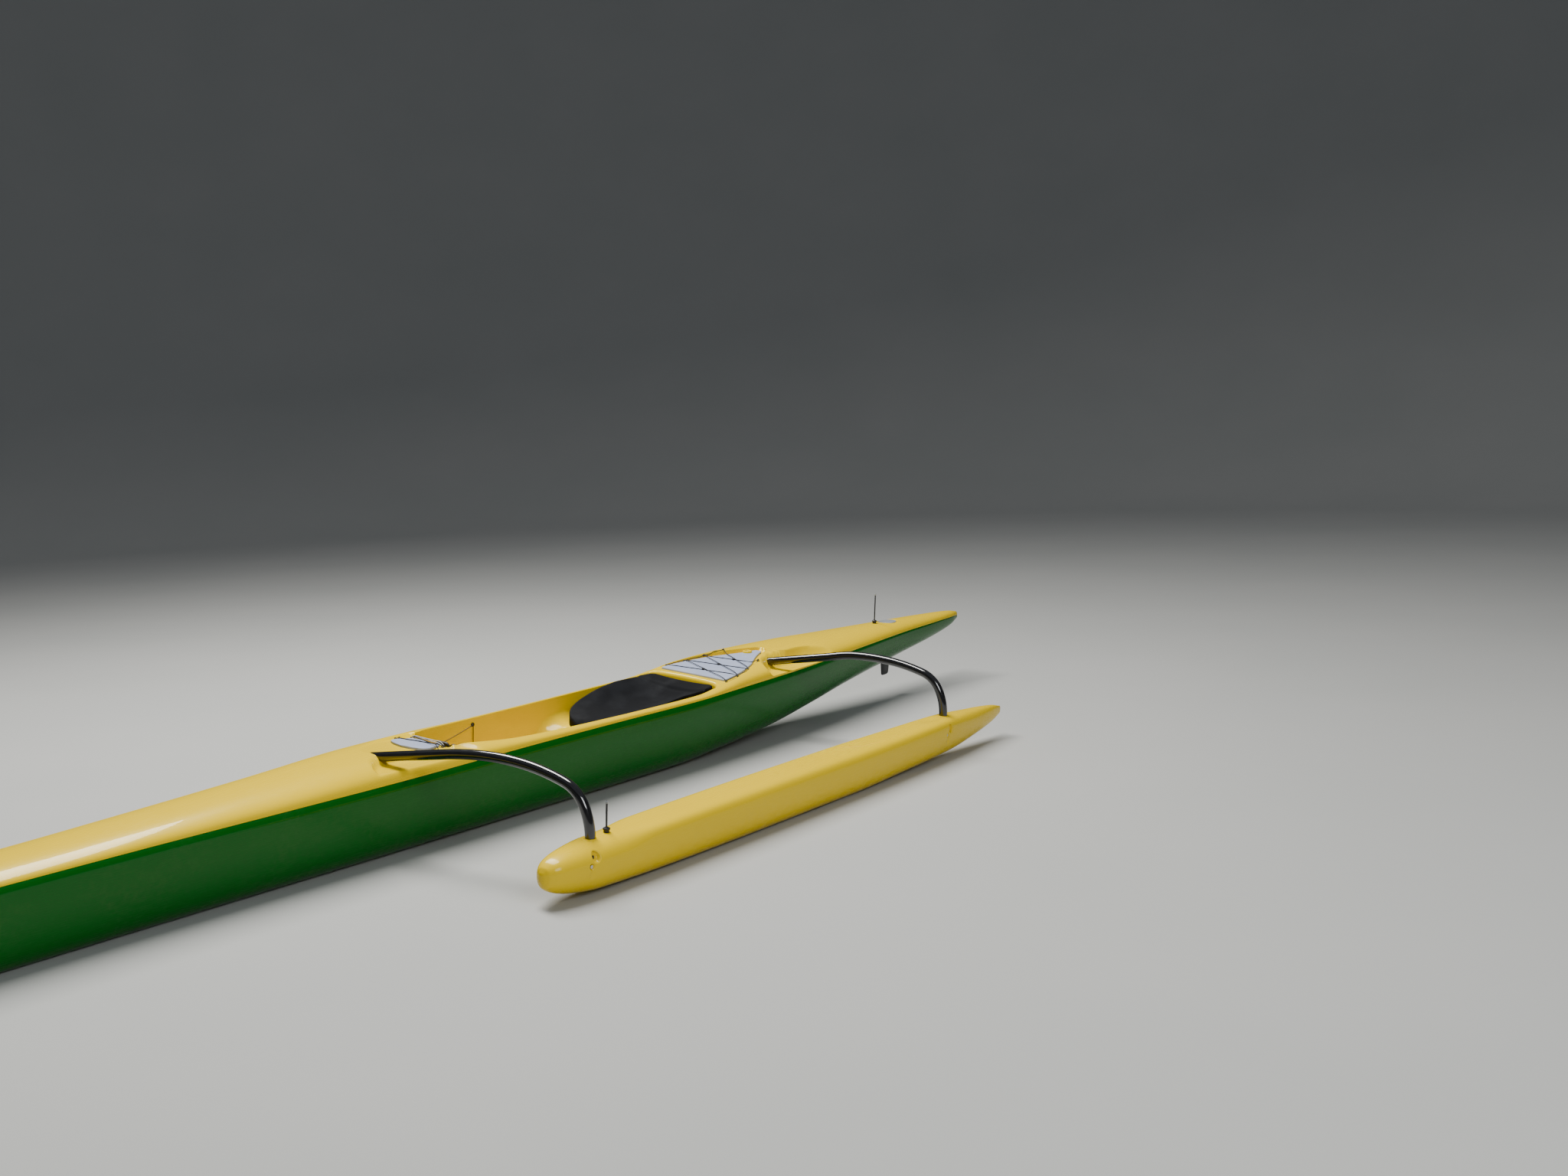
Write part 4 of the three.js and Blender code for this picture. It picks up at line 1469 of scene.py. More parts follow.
@dataclass
class DeckFittings:
    """Foam pads, the cup, the hatch cover, eyelets and bungees on the deck.

    Attributes:
        pad: thickness of the deck pads.
        pad_corner: radius of a pad's corners.
        pad_edge: radius of a pad's top edge.
        groove: depth of a pad's fine grooves, and their pitch over pi.
        gap: between a pad and its bed.
        cup: x, y, outer radius, inner radius, floor and top of the cup.
        cord: radius of a bungee.
        held: height at which an eyelet holds a bungee that crosses, and one along the side.
    """

    pad: float = 7.0
    pad_corner: float = 9.0
    pad_edge: float = 3.0
    groove: tuple[float, float] = (0.35, 14.0)
    gap: float = 0.3
    cup: tuple[float, ...] = (-1402.0, -21.0, 19.0, 10.0, 333.0, 350.5)
    cord: float = 1.5
    held: tuple[float, float] = (5.6, 5.2)

    def pads(self, yard: Yard, deck: Deck) -> None:
        """Makes the two foam pads, each laid on its bed's slope.

        Args:
            yard: where pieces are made.
            deck: the moulding that they lie on.
        """
        front = bezier_half((279, 62), ((310, 72, 336, 80), (366, 84, 374, 56), (386, 30, 386, 0)))
        curves = ((-1150, 154, -1284, 96), (-1385, 34, -1444, 18), (-1452, 10, -1452, 0))
        rear = bezier_half((-1034, 160), curves)

        def grooves(_x: Array, y: Array) -> Array:
            """Fine grooves along the pad: the eighth power of a cosine across it."""
            depth, run = self.groove
            return -depth * np.cos(y / run) ** 8

        for name, half, low, high, plane in (
            ("front_deck_foam", front, 279.0, 386.0, deck.front_plane),
            ("rear_deck_foam", rear, -1452.0, -1034.0, deck.rear_plane),
        ):
            outline = Outline(half, low, high, self.pad_corner)
            grid = Plate(outline, self.pad, self.pad_edge, grooves).grid(90, 60)
            grid[..., 2] += plane(grid[..., 0]) + self.gap
            node = name.replace("foam", "pad")
            yard.piece(name, [grid], Slot.GREY_FOAM, replaces=(node,), crease=50)

    def cup_and_hatch(self, yard: Yard, deck: Deck) -> None:
        """Makes the small cup's rim and disc and the stern hatch's cover.

        Args:
            yard: where pieces are made.
            deck: the moulding that they sit on.
        """
        x, y, outer, inner, floor, top = self.cup
        rim = [(inner, floor - 3), (inner, top - 3), (inner + 0.9, top - 0.9), (inner + 3, top)]
        rim += [(outer - 4, top), (outer - 1.2, top - 1.2), (outer, top - 4)]
        rim += [(outer, floor - 3), (inner, floor - 3)]
        yard.piece("cup_rim", [lathe(rim, 48) + (x, y, 0.0)], Slot.YELLOW, crease=60)
        disc = [(0, floor), (inner - 0.6, floor), (inner - 0.6, top - 5)]
        disc += [(inner - 2, top - 3.6), (3, top - 4.6), (0, top - 4.8)]
        yard.piece("cup_disc", [lathe(disc, 40) + (x, y, 0.0)], Slot.GREY_FOAM, replaces=("deck_cup_pad",))
        middle, length, width, depth = deck.hatch
        reach = length / 2 - 1
        outline = Outline(oval_half(middle, length - 2, width - 2), middle - reach, middle + reach, 0.5)

        def dome(px: Array, py: Array) -> Array:
            """A crown of 2.5 mm with a groove round it."""
            out = np.hypot((px - middle) / (length / 2), py / (width / 2))
            return 2.5 * (1 - out**2) - 1.4 * np.exp(-(((out - 0.78) / 0.035) ** 2))

        grid = Plate(outline, 5.0, 1.8, dome).grid(90, 70)
        grid[..., 2] += deck.lines.deck(middle) - depth + self.gap
        yard.piece("hatch_cover", [grid], Slot.GREY_PLASTIC, replaces=("rudder_hatch_cover",))

    def eyelet(self, at: Array, turn: float) -> list[Array]:
        """One eyelet: a low foot and a loop of wire standing on it.

        Args:
            at: where its foot stands.
            turn: degrees from X of the line through its loop.

        Returns:
            Its grids.
        """
        c, s = math.cos(math.radians(turn)), math.sin(math.radians(turn))
        foot = lathe([(0, -1), (5.2, -1), (5.2, 0.8), (4.2, 1.8), (0, 2.0)], 18) + at
        t = np.linspace(0.0, math.pi, 14)
        loop = np.stack([3.6 * np.cos(t) * c, 3.6 * np.cos(t) * s, 1.0 + 6.6 * np.sin(t)], -1) + at
        return [foot, sweep(loop, 1.1, 8, (-s, c, 0.0))]

    def knot(self, at: Array) -> Array:
        """A small knot: the three-lobed curve (sin t + 2 sin 2t, cos t - 2 cos 2t, -sin 3t)."""
        t = np.linspace(0.0, 2 * math.pi, 60)
        curve = np.stack([np.sin(t) + 2 * np.sin(2 * t), np.cos(t) - 2 * np.cos(2 * t), -np.sin(3 * t)], -1)
        return sweep(curve * 1.7 + at, 1.5, 8)

    def lacing(self, yard: Yard, deck: Deck) -> None:
        """Makes the eyelets, the crossed bungees and their knots on both pads.

        Args:
            yard: where pieces are made.
            deck: the moulding that the eyelets stand on.
        """

        def on_deck(x: float, y: float, up: float) -> Array:
            """A point above the deck."""
            return np.array([x, y, float(deck.height(x, y)) + up])

        def over(start: Array, end: Array, plane: Callable[[Array], Array], lift: float) -> Array:
            """A taut cord between two eyelets, lying on the pad in between."""
            points = [start]
            for share in (0.12, 0.3, 0.5, 0.7, 0.88):
                spot = start + (end - start) * share
                lie = float(plane(spot[0])) + self.gap + self.pad + self.cord + lift
                spot[2] = max(lie, float(deck.height(spot[0], spot[1])) + self.cord)
                points.append(spot)
            return through([*points, end], 6.0)

        high, low = self.held
        starboard = [(-1072, -167), (-1165, -153), (-1258, -129), (-1342, -96)]
        port = [(-1032, 169), (-1115, 160), (-1205, 144), (-1295, 117)]
        loops, cords, knots = [], [], []
        for x, y in (*starboard, *port):
            loops += self.eyelet(on_deck(x, y, 0.0), 20.0 if y < 0 else -20.0)
        for (a, b), (c, d) in zip(zip(starboard, starboard[1:]), zip(port, port[1:])):
            ends = [on_deck(*p, high) for p in (a, b, c, d)]
            cords.append(sweep(over(ends[0], ends[3], deck.rear_plane, 0.0), self.cord, 10))
            cords.append(sweep(over(ends[1], ends[2], deck.rear_plane, 2 * self.cord), self.cord, 10))
            middle = sum(ends) / 4
            middle[2] = float(deck.rear_plane(middle[0])) + self.pad + 4.0
            knots.append(self.knot(middle))
        for side in (starboard, port):
            for a, b in zip(side, side[1:]):
                edge = over(on_deck(*a, low), on_deck(*b, low), deck.rear_plane, -3.0)
                cords.append(sweep(edge, self.cord, 10))
        front = [(330, -93), (312, -95), (282, -74), (272, -72)]
        for x, y in front:
            for side in (1, -1):
                loops += self.eyelet(on_deck(x, side * y, 0.0), 90.0)
        tops = {
            (k, side): on_deck(x, side * y, high)
            for k, (x, y) in enumerate(front)
            for side in (1, -1)
        }
        for near, far, lift in ((0, 2, 0.0), (2, 1, 3.8)):
            line = over(tops[near, 1], tops[far, -1], deck.front_plane, lift)
            cords.append(sweep(line, self.cord, 10))
        light = [sweep(over(tops[3, 1], tops[2, -1], deck.front_plane, 2.0), self.cord, 10)]
        light.append(sweep(over(tops[3, -1], tops[2, 1], deck.front_plane, 5.8), self.cord, 10))
        yard.piece("bungee_eyelets", loops, Slot.BLACK_PLASTIC)
        for name, grids, slot, paint in (
            ("bungees", cords, Slot.BLACK_PLASTIC, yard.paints.bungee),
            ("bungee_knots", knots, Slot.BLACK_PLASTIC, yard.paints.bungee),
            ("front_light_bungee", light, Slot.GREY_PLASTIC, yard.paints.light_bungee),
        ):
            yard.piece(name, grids, slot, wrap=False, paint=paint, mapped=True)

    def build(self, yard: Yard, deck: Deck) -> None:
        """Makes every fitting on the deck."""
        self.pads(yard, deck)
        self.cup_and_hatch(yard, deck)
        self.lacing(yard, deck)


@dataclass
class Seat:
    """The black foam seat pad: dished, with a raised flat brim along its back.

    Attributes:
        gap: between the pad and the tub.
        edge: radius of its upper edge.
        brim_x: where the brim's groove crosses the centreline.
        brim_bow: how far that groove bows forwards, and at what distance across.
        groove: its depth and its half width.
        brim: how far the brim rises, and over what length.
        dish: x, half length, half width and depth of the dish.
    """

    gap: float = 0.6
    edge: float = 9.0
    brim_x: float = -928.0
    brim_bow: tuple[float, float] = (22.0, 160.0)
    groove: tuple[float, float] = (3.0, 5.0)
    brim: tuple[float, float] = (4.0, 12.0)
    dish: tuple[float, float, float, float] = (-745.0, 190.0, 150.0, 7.0)

    def build(self, yard: Yard, deck: Deck) -> None:
        """Makes the pad.

        Its top is the middle's height plus the side's rise times the square of the distance across,
        turned down at its edge as a quarter circle, with an oval dish and a groove pressed into it.
        Its underside is the tub's surface.

        Args:
            yard: where pieces are made.
            deck: the moulding that it lies in.
        """
        half, middle, side = (Line(SEAT_PAD_LINES, k) for k in (1, 2, 3))
        outline = Outline(half, low=SEAT_PAD_LINES[-1][0], high=SEAT_PAD_LINES[0][0], corner=24.0)
        x, y = outline.plan(120, 90)
        inside = np.clip(outline.inside(x, y), 0.0, self.edge)
        turn = self.edge - np.sqrt(self.edge**2 - (self.edge - inside) ** 2)
        bow, across = self.brim_bow
        behind = x - self.brim_x - bow * (y / across) ** 2
        top = middle(x) + (side(x) - middle(x)) * (y / half(x)) ** 2 - turn
        dish_x, long, wide, deep = self.dish
        dish = 1.0 - smoothstep((np.hypot((x - dish_x) / long, y / wide) - 0.72) / 0.34)
        depth, reach = self.groove
        rise, over = self.brim
        top = top - deep * dish - depth * np.exp(-((behind / reach) ** 2)) + rise * smoothstep(-behind / over)
        under = deck.tub_height(x, y) + self.gap
        top = np.maximum(top, under + 0.5)
        grid = np.concatenate([np.stack([x, y, top], -1), np.stack([x, y, under], -1)[:, ::-1]], 1)
        piece = yard.piece("seat_cushion", [closed(grid)], Slot.BLACK_FOAM, replaces=("seat_pad",))


@dataclass
class Footwell:
    """Steering pedals with their lines, grommets and the drain, and a dark cord down each wall below a
    grommet that paints the line's shadow.

    Attributes:
        floor: height of the footwell's floor.
        pedal: width, height, thickness and lean of a pedal.
        foot: x and z of a pedal's foot, and its distance from the centreline.
        grommet: x and z of a line's grommet.
        eye: a line's eye: how far ahead of a pedal's foot, from the centreline, and its height.
        line: radius of a line.
        drain_x: where the drain is.
    """

    floor: float = 68.0
    pedal: tuple[float, float, float, float] = (60.0, 204.0, 8.0, 12.0)
    foot: tuple[float, float, float] = (140.0, 86.6, 33.0)
    grommet: tuple[float, float] = (-52.0, 277.0)
    eye: tuple[float, float, float] = (30.0, 58.0, 272.0)
    line: float = 1.3
    drain_x: float = -190.0

    def pedal_grid(self, side: float) -> Array:
        """One pedal: a plate with eight ribs across its tread, stood up and leant forwards.

        Args:
            side: 1 for port, -1 for starboard.

        Returns:
            Its grid.
        """
        width, height, thick, lean = self.pedal
        outline = Outline(lambda x: np.full_like(x, width / 2), 0.0, height, 14.0)

        def tread(x: Array, y: Array) -> Array:
            """Ribs 2 mm high between bare margins."""
            across = smoothstep((width / 2 - 8.0 - np.abs(y)) / 3.0)
            up = smoothstep((x - 60.0) / 6.0) * smoothstep((height - 12.0 - x) / 6.0)
            return 2.0 * np.clip(np.sin(x / 14.0 * 2 * math.pi) * 2.0, 0.0, 1.0) * across * up

        flat = Plate(outline, thick, 2.2, tread).grid(120, 40)
        up, across, out = np.moveaxis(flat, -1, 0)
        a = math.radians(lean)
        x = self.foot[0] + up * math.sin(a) - out * math.cos(a) + thick * math.cos(a)
        z = self.foot[1] + up * math.cos(a) + out * math.sin(a)
        return np.stack([x, side * self.foot[2] + across, z], -1)

    def build(self, yard: Yard, deck: Deck) -> None:
        """Makes the footwell's fittings.

        Args:
            yard: where pieces are made.
            deck: the moulding that they stand in.
        """
        lines = []
        gx, gz = self.grommet
        ahead, out, level = self.eye
        wall = float(deck.tub.half(np.array(gx)))
        for side, name in ((1.0, "left"), (-1.0, "right")):
            piece = f"{name}_pedal"
            plate = [self.pedal_grid(side)]
            yard.piece(f"{piece}_plate", plate, Slot.BLACK_PLASTIC, replaces=(piece,), crease=40)
            ring = lathe([(2.2, 0), (2.2, 3.2), (3.2, 4.2), (5.6, 4.2), (7, 3), (7, 0), (2.2, 0)], 28)
            r, t, h = np.moveaxis(ring, -1, 0)
            turned = np.stack([gx + r, side * (wall - 0.5 - h), gz + t], -1)
            yard.piece(f"{name}_grommet", [turned], Slot.BLACK_PLASTIC, replaces=(f"{name}_line_grommet",))
            eye = np.array([self.foot[0] + ahead, side * out, level])
            hole = np.array([gx, side * (wall - 5.0), gz])
            # From each grommet a dark cord runs down the wall: it paints the steering line's shadow there.
            down = np.array([gx + 1.0, side * (wall - 4.0), 150.0])
            sag = (eye + hole) / 2 - (0.0, 0.0, 1.5)
            lines.append(sweep(through([eye, sag, hole], 8.0), self.line, 8))
            lines.append(sweep(np.linspace(hole, down, 14), self.line, 8, (1.0, 0.0, 0.0)))
        paint = yard.paints.line
        yard.piece("steering_lines", lines, Slot.BLACK_PLASTIC, wrap=False, paint=paint, mapped=True)
        low = self.floor + 0.3
        drain = [(0, low), (17, low), (17, low + 2.4), (15.6, low + 4), (12.2, low + 4), (11.4, low + 2.6)]
        drain += [(4.4, low + 2.6), (3.6, low + 3.6), (0, low + 3.8)]
        grid = lathe(drain, 48) + (self.drain_x, 0.0, 0.0)
        yard.piece("drain_cap", [grid], Slot.BLACK_PLASTIC, replaces=("footwell_drain",), crease=50)


# Beams and float


@dataclass
class Beams:
    """The two curved cross beams.

    Attributes:
        radius: of the tube.
        sweep_aft: degrees that they lean aft on their way out.
        rise: degrees that they rise where they leave the deck.
        socket: length inside the hull.
        float_y: the float's distance from the centreline.
        foot: height of the legs' ends inside the float.
    """

    radius: float = 15.5
    sweep_aft: float = 4.3
    rise: float = 11.5
    socket: float = 75.0
    float_y: float = 874.0
    foot: float = 147.0
    # Where each beam leaves the deck
    sockets: ClassVar[Mapping[str, tuple[float, float, float]]] = {
        "front": (FRONT_BEAM_X, 44.0, 317.0),
        "rear": (REAR_BEAM_X, 85.0, 323.0),
    }
    # Length of each stretch, and its turn in degrees
    stretches: ClassVar[tuple[tuple[float, float], ...]] = (
        (355.0, 0.0),
        (190.0, -8.0),
        (140.0, -8.0),
        (140.0, -11.0),
        (94.0, -47.0),
        (94.0, -27.5),
    )

    def path(self, name: str) -> Array:
        """The beam's middle line, from inside the hull to its foot.

        Its heading turns evenly along each stretch, and its steps add up to its place. What is
        missing to the float's distance is added over the second stretch.

        Args:
            name: front or rear.

        Returns:
            Points along it.
        """
        x0, y0, z0 = self.sockets[name]
        lengths, turns = np.array(self.stretches).T
        ends = np.concatenate([[0.0], np.cumsum(lengths)])
        heading = np.concatenate([[self.rise], self.rise + np.cumsum(turns)])
        s = np.linspace(0.0, ends[-1], 260)
        angle = np.radians(np.interp((s[1:] + s[:-1]) / 2, ends, heading))
        start = math.radians(self.rise)
        out = np.concatenate([[0.0], np.cumsum(np.cos(angle) * np.diff(s))])
        up = np.concatenate([[0.0], np.cumsum(np.sin(angle) * np.diff(s))])
        y = y0 - self.socket * math.cos(start) + out
        z = z0 - self.socket * math.sin(start) + up
        y = y + (self.float_y - y[-1]) * smoothstep((s - ends[1]) / (ends[2] - ends[1]))
        y = np.concatenate([y, np.full(8, self.float_y)])
        z = np.concatenate([z, np.linspace(z[-1], self.foot, 9)[1:]])
        return np.stack([x0 - math.tan(math.radians(self.sweep_aft)) * (y - y0), y, z], -1)

    def leg_x(self, name: str) -> float:
        """Where a beam's leg stands along the float."""
        return float(self.path(name)[-1, 0])

    def build(self, yard: Yard) -> None:
        """Makes both tubes.

        Args:
            yard: where pieces are made.
        """
        a = math.radians(self.sweep_aft)
        for name in self.sockets:
            grid = sweep(self.path(name), self.radius, 40, (math.cos(a), math.sin(a), 0.0))
            yard.piece(f"{name}_beam_tube", [grid], Slot.TUBE, replaces=(f"{name}_iako",), crease=60)


@dataclass
class Float:
    """The yellow float with its shoulders, leg platforms, recesses and fittings.

    Attributes:
        wide_at: share of the depth at which it is widest.
        columns: points around.
        recess: distance ahead of a leg, height, reach along, reach up and depth of the recess.
        bolt: distance ahead of a leg, height, reach along, reach up and depth of the bolt's seat.
        dent: distance ahead of a leg, height, reach along, reach up and depth of the soft dent.
        scallop: distance ahead of the rear leg, reach along, distance inboard, reach across and
            depth of the scallop in the top.
        scallop_above: height above which it is pressed.
        hole_shade_oval: width and height of the black piece that paints a hole's shade in a recess, as shares
            of a round one.
    """

    wide_at: float = 0.56
    columns: int = 132
    recess: tuple[float, ...] = (40.0, 196.0, 14.0, 16.0, 13.0)
    bolt: tuple[float, ...] = (60.0, 174.0, 8.5, 8.5, 7.4)
    dent: tuple[float, ...] = (60.0, 150.0, 13.0, 17.0, 2.5)
    scallop: tuple[float, ...] = (78.0, 62.0, 8.0, 17.0, 7.0)
    scallop_above: float = 190.0
    hole_shade_oval: tuple[float, float] = (0.6, 1.3)

    def __post_init__(self) -> None:
        """Finds the legs from the beams, and the float's curves from its table."""
        beams = Beams()
        self.y = beams.float_y
        self.legs = (beams.leg_x("front"), beams.leg_x("rear"))
        table = [(self.legs[0] + row[0], *row[1:]) for row in FLOAT_LINES]
        self.half, self.low, self.high = (Line(table, k) for k in (1, 2, 3))
        self.ends = (table[-1][0], table[0][0])

    def section(self, x: Array) -> Array:
        """Rings round the float.

        Across, the half width times cosine to a power; up, the reach times sine to a power. The
        powers give a soft ellipse at the ends and legs and square shoulders along the middle.

        Args:
            x: stations.

        Returns:
            Rows by columns by 3.
        """
        t = np.linspace(0.0, 2 * math.pi, self.columns, endpoint=False)
        angle = (t - 0.22 * np.sin(2 * t))[None, :]
        x = x[:, None]
        half, low, high = self.half(x), self.low(x), self.high(x)
        middle = low + (high - low) * self.wide_at
        flat = smoothstep((self.legs[0] - 60 - x) / 150.0) * smoothstep((x - self.legs[1] + 200) / 260.0)
        upper = 0.82 - 0.33 * flat
        sine, cosine = np.sin(angle), np.cos(angle)
        power = np.where(sine > 0, upper, 0.84)
        reach = np.where(sine > 0, high - middle, middle - low)
        y = half * np.sign(cosine) * np.abs(cosine) ** power
        z = middle + reach * np.sign(sine) * np.abs(sine) ** power
        return np.stack([np.broadcast_to(x, y.shape), self.y + y, z], -1)

    def dress(self, grid: Array) -> Array:
        """Presses in the outer side's recesses, and the scallop ahead of the rear leg.

        Each is a push inwards by its depth times a ramp of the distance from its middle.

        Args:
            grid: the plain float.

        Returns:
            The dressed float.
        """
        x, y, z = np.moveaxis(grid, -1, 0)
        outer = y > self.y
        push = np.zeros_like(x)
        pressed = ((self.recess, 0.3), (self.bolt, 0.2), (self.dent, 0.9))
        for leg in self.legs:
            for (ahead, level, along, up, depth), soft in pressed:
                out = np.hypot((x - leg - ahead) / along, (z - level) / up)
                push = np.maximum(push, depth * smoothstep((1.0 - out) / soft))
        y = np.where(outer, y - push, y)
        ahead, along, inboard, across, depth = self.scallop
        station = (x - self.legs[1] - ahead) / along
        valley = np.exp(-(station**2) - ((y - self.y + inboard) / across) ** 2)
        z = z - np.where(z > self.scallop_above, depth * valley, 0.0)
        return np.stack([x, y, z], -1)

    def build(self, yard: Yard) -> None:
        """Makes the float, the collars at its legs, and black pieces that paint the shade of holes in its
        recesses.

        Args:
            yard: where pieces are made.
        """
        aft, fore = self.ends
        front, rear = self.legs
        x = spans(
            (fore, fore - 12, 1.5),
            (fore - 12, front + 80, 6),
            (front + 80, front + 20, 2.0),
            (front + 20, front - 60, 8),
            (front - 60, rear + 190, 14),
            (rear + 190, rear + 80, 6),
            (rear + 80, rear + 20, 2.0),
            (rear + 20, aft + 60, 14),
            (aft + 60, aft, 5),
        )
        grid = self.dress(self.section(x))
        yard.piece("float_shell", [closed(grid)], Slot.YELLOW, replaces=("ama",))
        collars, hole_shades = [], []
        for leg in self.legs:
            top = float(self.high(leg))
            collar = [(15.4, top - 6), (15.4, top + 0.6), (16.2, top + 1.2)]
            collar += [(17.6, top + 0.9), (18.4, top - 0.4), (18.4, top - 6), (15.4, top - 6)]
            collars.append(lathe(collar, 44) + (leg, self.y, 0.0))
            ahead, level, along, _, depth = self.recess
            side = self.y + float(self.half(leg + ahead)) * 0.94 - depth
            # Each recess gets a small black oval piece that paints the shade of a hole there.
            hole = lathe([(0, -3), (4.6, -3), (4.6, 0.6), (3.6, 0.9), (3.2, -0.8), (0, -0.8)], 24)
            r, t, h = np.moveaxis(hole, -1, 0)
            narrow, tall = self.hole_shade_oval
            hole_x = leg + ahead + along * 0.45 + r * narrow
            hole_shades.append(np.stack([hole_x, side + 3.0 + h, level + t * tall], -1))
        yard.piece("leg_collars", collars, Slot.YELLOW)
        yard.piece("access_plugs", hole_shades, Slot.BLACK_PLASTIC)


@dataclass
class Vents:
    """The two vent fittings: a flanged base with a knurled cap, and a thin upright tube.

    Attributes:
        sink: how far a base is sunk into its surface.
        radius: of a tube.
        lengths: of the hull's tube and the float's.
        hull_x: where the hull's vent stands.
        behind_leg: how far aft of the float's front leg its vent stands.
        stem_foot: height of a tube's lower end above its base's.
    """

    sink: float = 1.7
    radius: float = 2.8
    lengths: tuple[float, float] = (120.0, 78.0)
    hull_x: float = -2294.0
    behind_leg: float = 66.0
    stem_foot: float = 16.3

    def build(self, yard: Yard, deck: Deck, ama: Float) -> None:
        """Makes both vents.

        Args:
            yard: where pieces are made.
            deck: the moulding that carries the stern's.
            ama: the float that carries the other.
        """
        ama_x = ama.legs[0] - self.behind_leg
        spots = {
            "hull": (self.hull_x, 0.0, float(deck.lines.deck(self.hull_x))),
            "ama": (ama_x, ama.y, float(ama.high(ama_x))),
        }
        radius = self.radius
        for (name, (x, y, surface)), length in zip(spots.items(), self.lengths, strict=True):
            low = surface - self.sink
            base = [(0, 0), (8.5, 0), (8.5, 9), (9.9, 9.5), (10.5, 10.1), (10.5, 13.6), (10, 14.4), (8.8, 15)]
            base += [(8.3, 15.8), (4.4, 16), (4.1, 17.1), (3.6, 17.9), (0, 17.9)]
            grid = lathe(base, 96, 0.018, 24) + (x, y, low)
            node = f"{name}_vent_base"
            yard.piece(f"{name}_vent_cap", [grid], Slot.BLACK_PLASTIC, replaces=(node,), crease=50)
            foot = self.stem_foot
            tube = [(0, foot), (radius, foot), (radius, foot + length - 1), (radius - 1, foot + length)]
            tube += [(1.7, foot + length), (1.7, foot + length - 8), (0, foot + length - 8)]
            grid = lathe(tube, 24) + (x, y, low)
            node = f"{name}_vent_tube"
            yard.piece(f"{name}_vent_stem", [grid], Slot.BLACK_PLASTIC, replaces=(node,), crease=50)
            tip = foot + length
            outer, inner = radius + 0.5, radius - 0.4
            band = [(radius, tip - 9), (outer, tip - 8.6), (outer, tip - 1), (radius, tip - 0.4)]
            band += [(inner, tip - 0.4), (inner, tip - 9), (radius, tip - 9)]
            yard.piece(f"{name}_vent_tip", [lathe(band, 24) + (x, y, low)], Slot.GREY_PLASTIC)


@dataclass
class Rudder:
    """The underhung rudder blade.

    Attributes:
        x: its axis.
        ahead: how far its front edge stands ahead of the axis.
        chord: from front edge to back edge at the top.
        tip_chord: the same at the tip.
        tip_sweep: how far the front edge leans aft over its depth.
        thick: greatest thickness at the top and at the tip.
        clearance: below the keel.
        tip: height of its lowest point.
    """

    x: float = -2385.0
    ahead: float = 28.0
    chord: float = 76.0
    tip_chord: float = 56.0
    tip_sweep: float = 10.0
    thick: tuple[float, float] = (13.0, 7.0)
    clearance: float = 6.0
    tip: float = 92.0

    def build(self, yard: Yard, deck: Deck) -> None:
        """Makes the blade.

        Each level is a foil: half thickness 2.6 (root of s) (1 - s)^0.9 e^(-0.35 s) of the share s
        along the chord, and the last levels draw in much as a quarter ellipse does.

        Args:
            yard: where pieces are made.
            deck: holds the keel's curve.
        """
        near_tip = 1 - 0.1 * np.cos(np.linspace(0.15, 1.0, 10) * math.pi / 2)
        t = np.concatenate([[0.0, 0.004, 0.012], np.linspace(0.03, 0.9, 16), near_tip])[:, None]
        around = np.linspace(0.0, 2 * math.pi, 56, endpoint=False)[None, :]
        s = (1 - np.cos(around)) / 2
        draw = np.sqrt(np.clip(1 - np.clip((t - 0.88) / 0.12, 0.0, 1.0) ** 2.4, 0.0, 1.0))
        start = np.where(t < 0.01, 0.9, 1.0)
        chord = (self.chord + (self.tip_chord - self.chord) * t) * (0.35 + 0.65 * draw)
        half = (self.thick[0] + (self.thick[1] - self.thick[0]) * t) / 2 * draw * start
        lead = self.x + self.ahead - self.tip_sweep * t - 0.2 * (1 - draw) * self.chord
        foil = 2.6 * np.sqrt(s) * (1 - s) ** 0.9 * np.exp(-0.35 * s)
        x = lead - s * chord
        y = np.sign(np.sin(around)) * half * np.clip(foil, 0.0, 1.0)
        high = deck.lines.keel(x) - self.clearance
        z = high + (self.tip - high) * t
        yard.piece(
            "blade",
            [closed(np.stack([x, y, z], -1))],
            Slot.BLACK_PLASTIC,
            body=Body.RUDDER,
            replaces=("rudder_blade",),
            crease=60,
        )


# The studio


